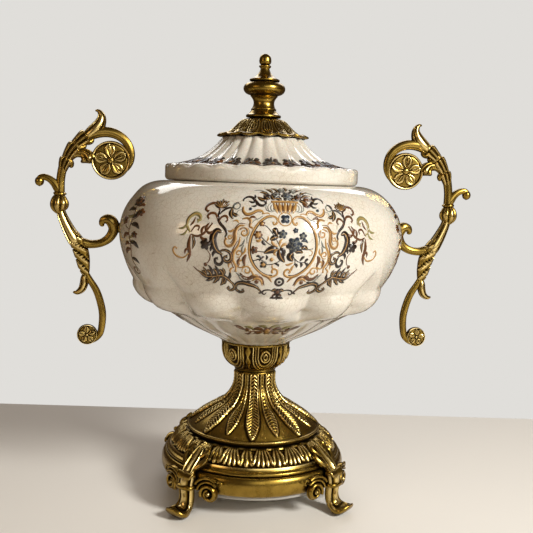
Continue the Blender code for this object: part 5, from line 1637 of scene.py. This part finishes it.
class URN_OT_stage(bpy.types.Operator):
    """Set the floor, the light and the camera"""
    bl_idname = "urn.stage"
    bl_label = "Stage"

    def execute(self, context):
        set_stage(context.scene.urn_stage)
        set_camera()
        return {"FINISHED"}


class URN_PT_panel(bpy.types.Panel):
    """The urn's steps and settings"""
    bl_label = "Mantel Urn"
    bl_idname = "URN_PT_panel"
    bl_space_type = "VIEW_3D"
    bl_region_type = "UI"
    bl_category = "Urn"

    def draw(self, context):
        for group in SETTINGS:
            box = self.layout.box()
            holder = getattr(context.scene, group)
            for name in SETTINGS[group].__annotations__:
                box.prop(holder, name)
        for step in STEPS:
            self.layout.operator(step.bl_idname)


# Stage

def set_camera():
    """The camera where the photograph was taken from, a little left of the front and above the floor."""
    distance = 720 * MM
    height = 284.8 * MM
    aside = math.radians(7.5)
    yaw = math.radians(0.59)
    pitch = math.radians(6.197)
    roll = math.radians(2.0)
    picture = 533
    focal_pixels = 792
    lens = bpy.data.cameras.new("camera")
    lens.sensor_width = 36
    lens.sensor_fit = "HORIZONTAL"
    lens.lens = lens.sensor_width * focal_pixels / picture
    lens.clip_start = 0.01
    camera = new_object("camera", lens)
    turn = Matrix.Rotation(-aside - yaw, 4, "Z") @ Matrix.Rotation(0.5 * math.pi - pitch, 4, "X")
    spot = Matrix.Translation((-distance * math.sin(aside), -distance * math.cos(aside), height))
    camera.matrix_world = spot @ turn @ Matrix.Rotation(roll, 4, "Z")
    bpy.context.scene.camera = camera


def lamp(name, spot, size, power, colour):
    """A soft rectangular light at spot, in watts, that faces the middle of the urn."""
    light = bpy.data.lights.new(name, "AREA")
    light.shape = "RECTANGLE"
    light.size, light.size_y = size
    light.energy = power
    light.color = rgb(colour)[:3]
    thing = new_object(name, light)
    thing.location = spot
    middle = Vector((0, 0, 220 * MM))
    thing.rotation_euler = (middle - Vector(spot)).to_track_quat("-Z", "Y").to_euler()


def set_stage(settings):
    """A pale floor, a window high at the right, four weaker lamps all round, and a pale surround."""
    bpy.ops.mesh.primitive_plane_add(size=1, location=(0, -0.566, 0))
    floor = bpy.context.object
    floor.name = "floor"
    floor.scale = (2.4, 1.6, 1)
    floor.rotation_euler.z = math.radians(-7)
    finish, tree = blank("pale_floor")
    close_up(finish, tree, {"Base Color": rgb(settings.floor), "Roughness": 0.55})
    floor.data.materials.append(finish)
    lamp("window", (0.80, -0.90, 0.84), (0.30, 0.36), 22, "#FFFEFA")
    lamp("front", (0.45, -1.6, 0.75), (1.3, 0.8), 5, "#FFFDF6")
    lamp("fill", (-1.3, -0.9, 0.7), (0.5, 0.5), 2.4, "#FFDDB4")
    lamp("back", (0.3, 1.2, 1.1), (1.2, 0.5), 6, "#F8F7FA")
    lamp("rear", (-0.7, 1.6, 1.5), (1.0, 0.6), 5, "#FFFDF8")
    world = bpy.data.worlds.new("studio")
    bpy.context.scene.world = world
    world.use_nodes = True
    tree = world.node_tree
    tree.nodes.clear()
    seen = add_node(tree, "ShaderNodeLightPath").outputs["Is Camera Ray"]
    shown = add_node(tree, "ShaderNodeBackground", {"Color": rgb(settings.backdrop), "Strength": 1.0})
    lit = add_node(tree, "ShaderNodeBackground", {"Color": rgb("#A98F70"), "Strength": 0.21})
    mixed = add_node(tree, "ShaderNodeMixShader", {0: seen, 1: lit, 2: shown})
    add_node(tree, "ShaderNodeOutputWorld", {"Surface": mixed})
    bpy.context.scene.view_settings.view_transform = "Standard"


SETTINGS = {"urn_bowl": UrnBowlSizes, "urn_glaze": UrnGlaze, "urn_brass": UrnBrass, "urn_stage": UrnStage}
STEPS = (URN_OT_stage, URN_OT_bowl, URN_OT_print, URN_OT_lid, URN_OT_crown, URN_OT_stand, URN_OT_handles,
         URN_OT_feet)


def register():
    """Register the settings, the steps and the panel."""
    for name, group in SETTINGS.items():
        bpy.utils.register_class(group)
        setattr(bpy.types.Scene, name, bpy.props.PointerProperty(type=group))
    for step in STEPS:
        bpy.utils.register_class(step)
    bpy.utils.register_class(URN_PT_panel)


def unregister():
    """Undo what register did."""
    bpy.utils.unregister_class(URN_PT_panel)
    for step in reversed(STEPS):
        bpy.utils.unregister_class(step)
    for name, group in SETTINGS.items():
        delattr(bpy.types.Scene, name)
        bpy.utils.unregister_class(group)


def main():
    """Make every piece."""
    register()
    bpy.ops.urn.stage()
    bpy.ops.urn.bowl()
    bpy.ops.urn.print()
    bpy.ops.urn.lid()
    bpy.ops.urn.crown()
    bpy.ops.urn.stand()
    bpy.ops.urn.handles()
    bpy.ops.urn.feet()


if __name__ == "__main__":
    main()
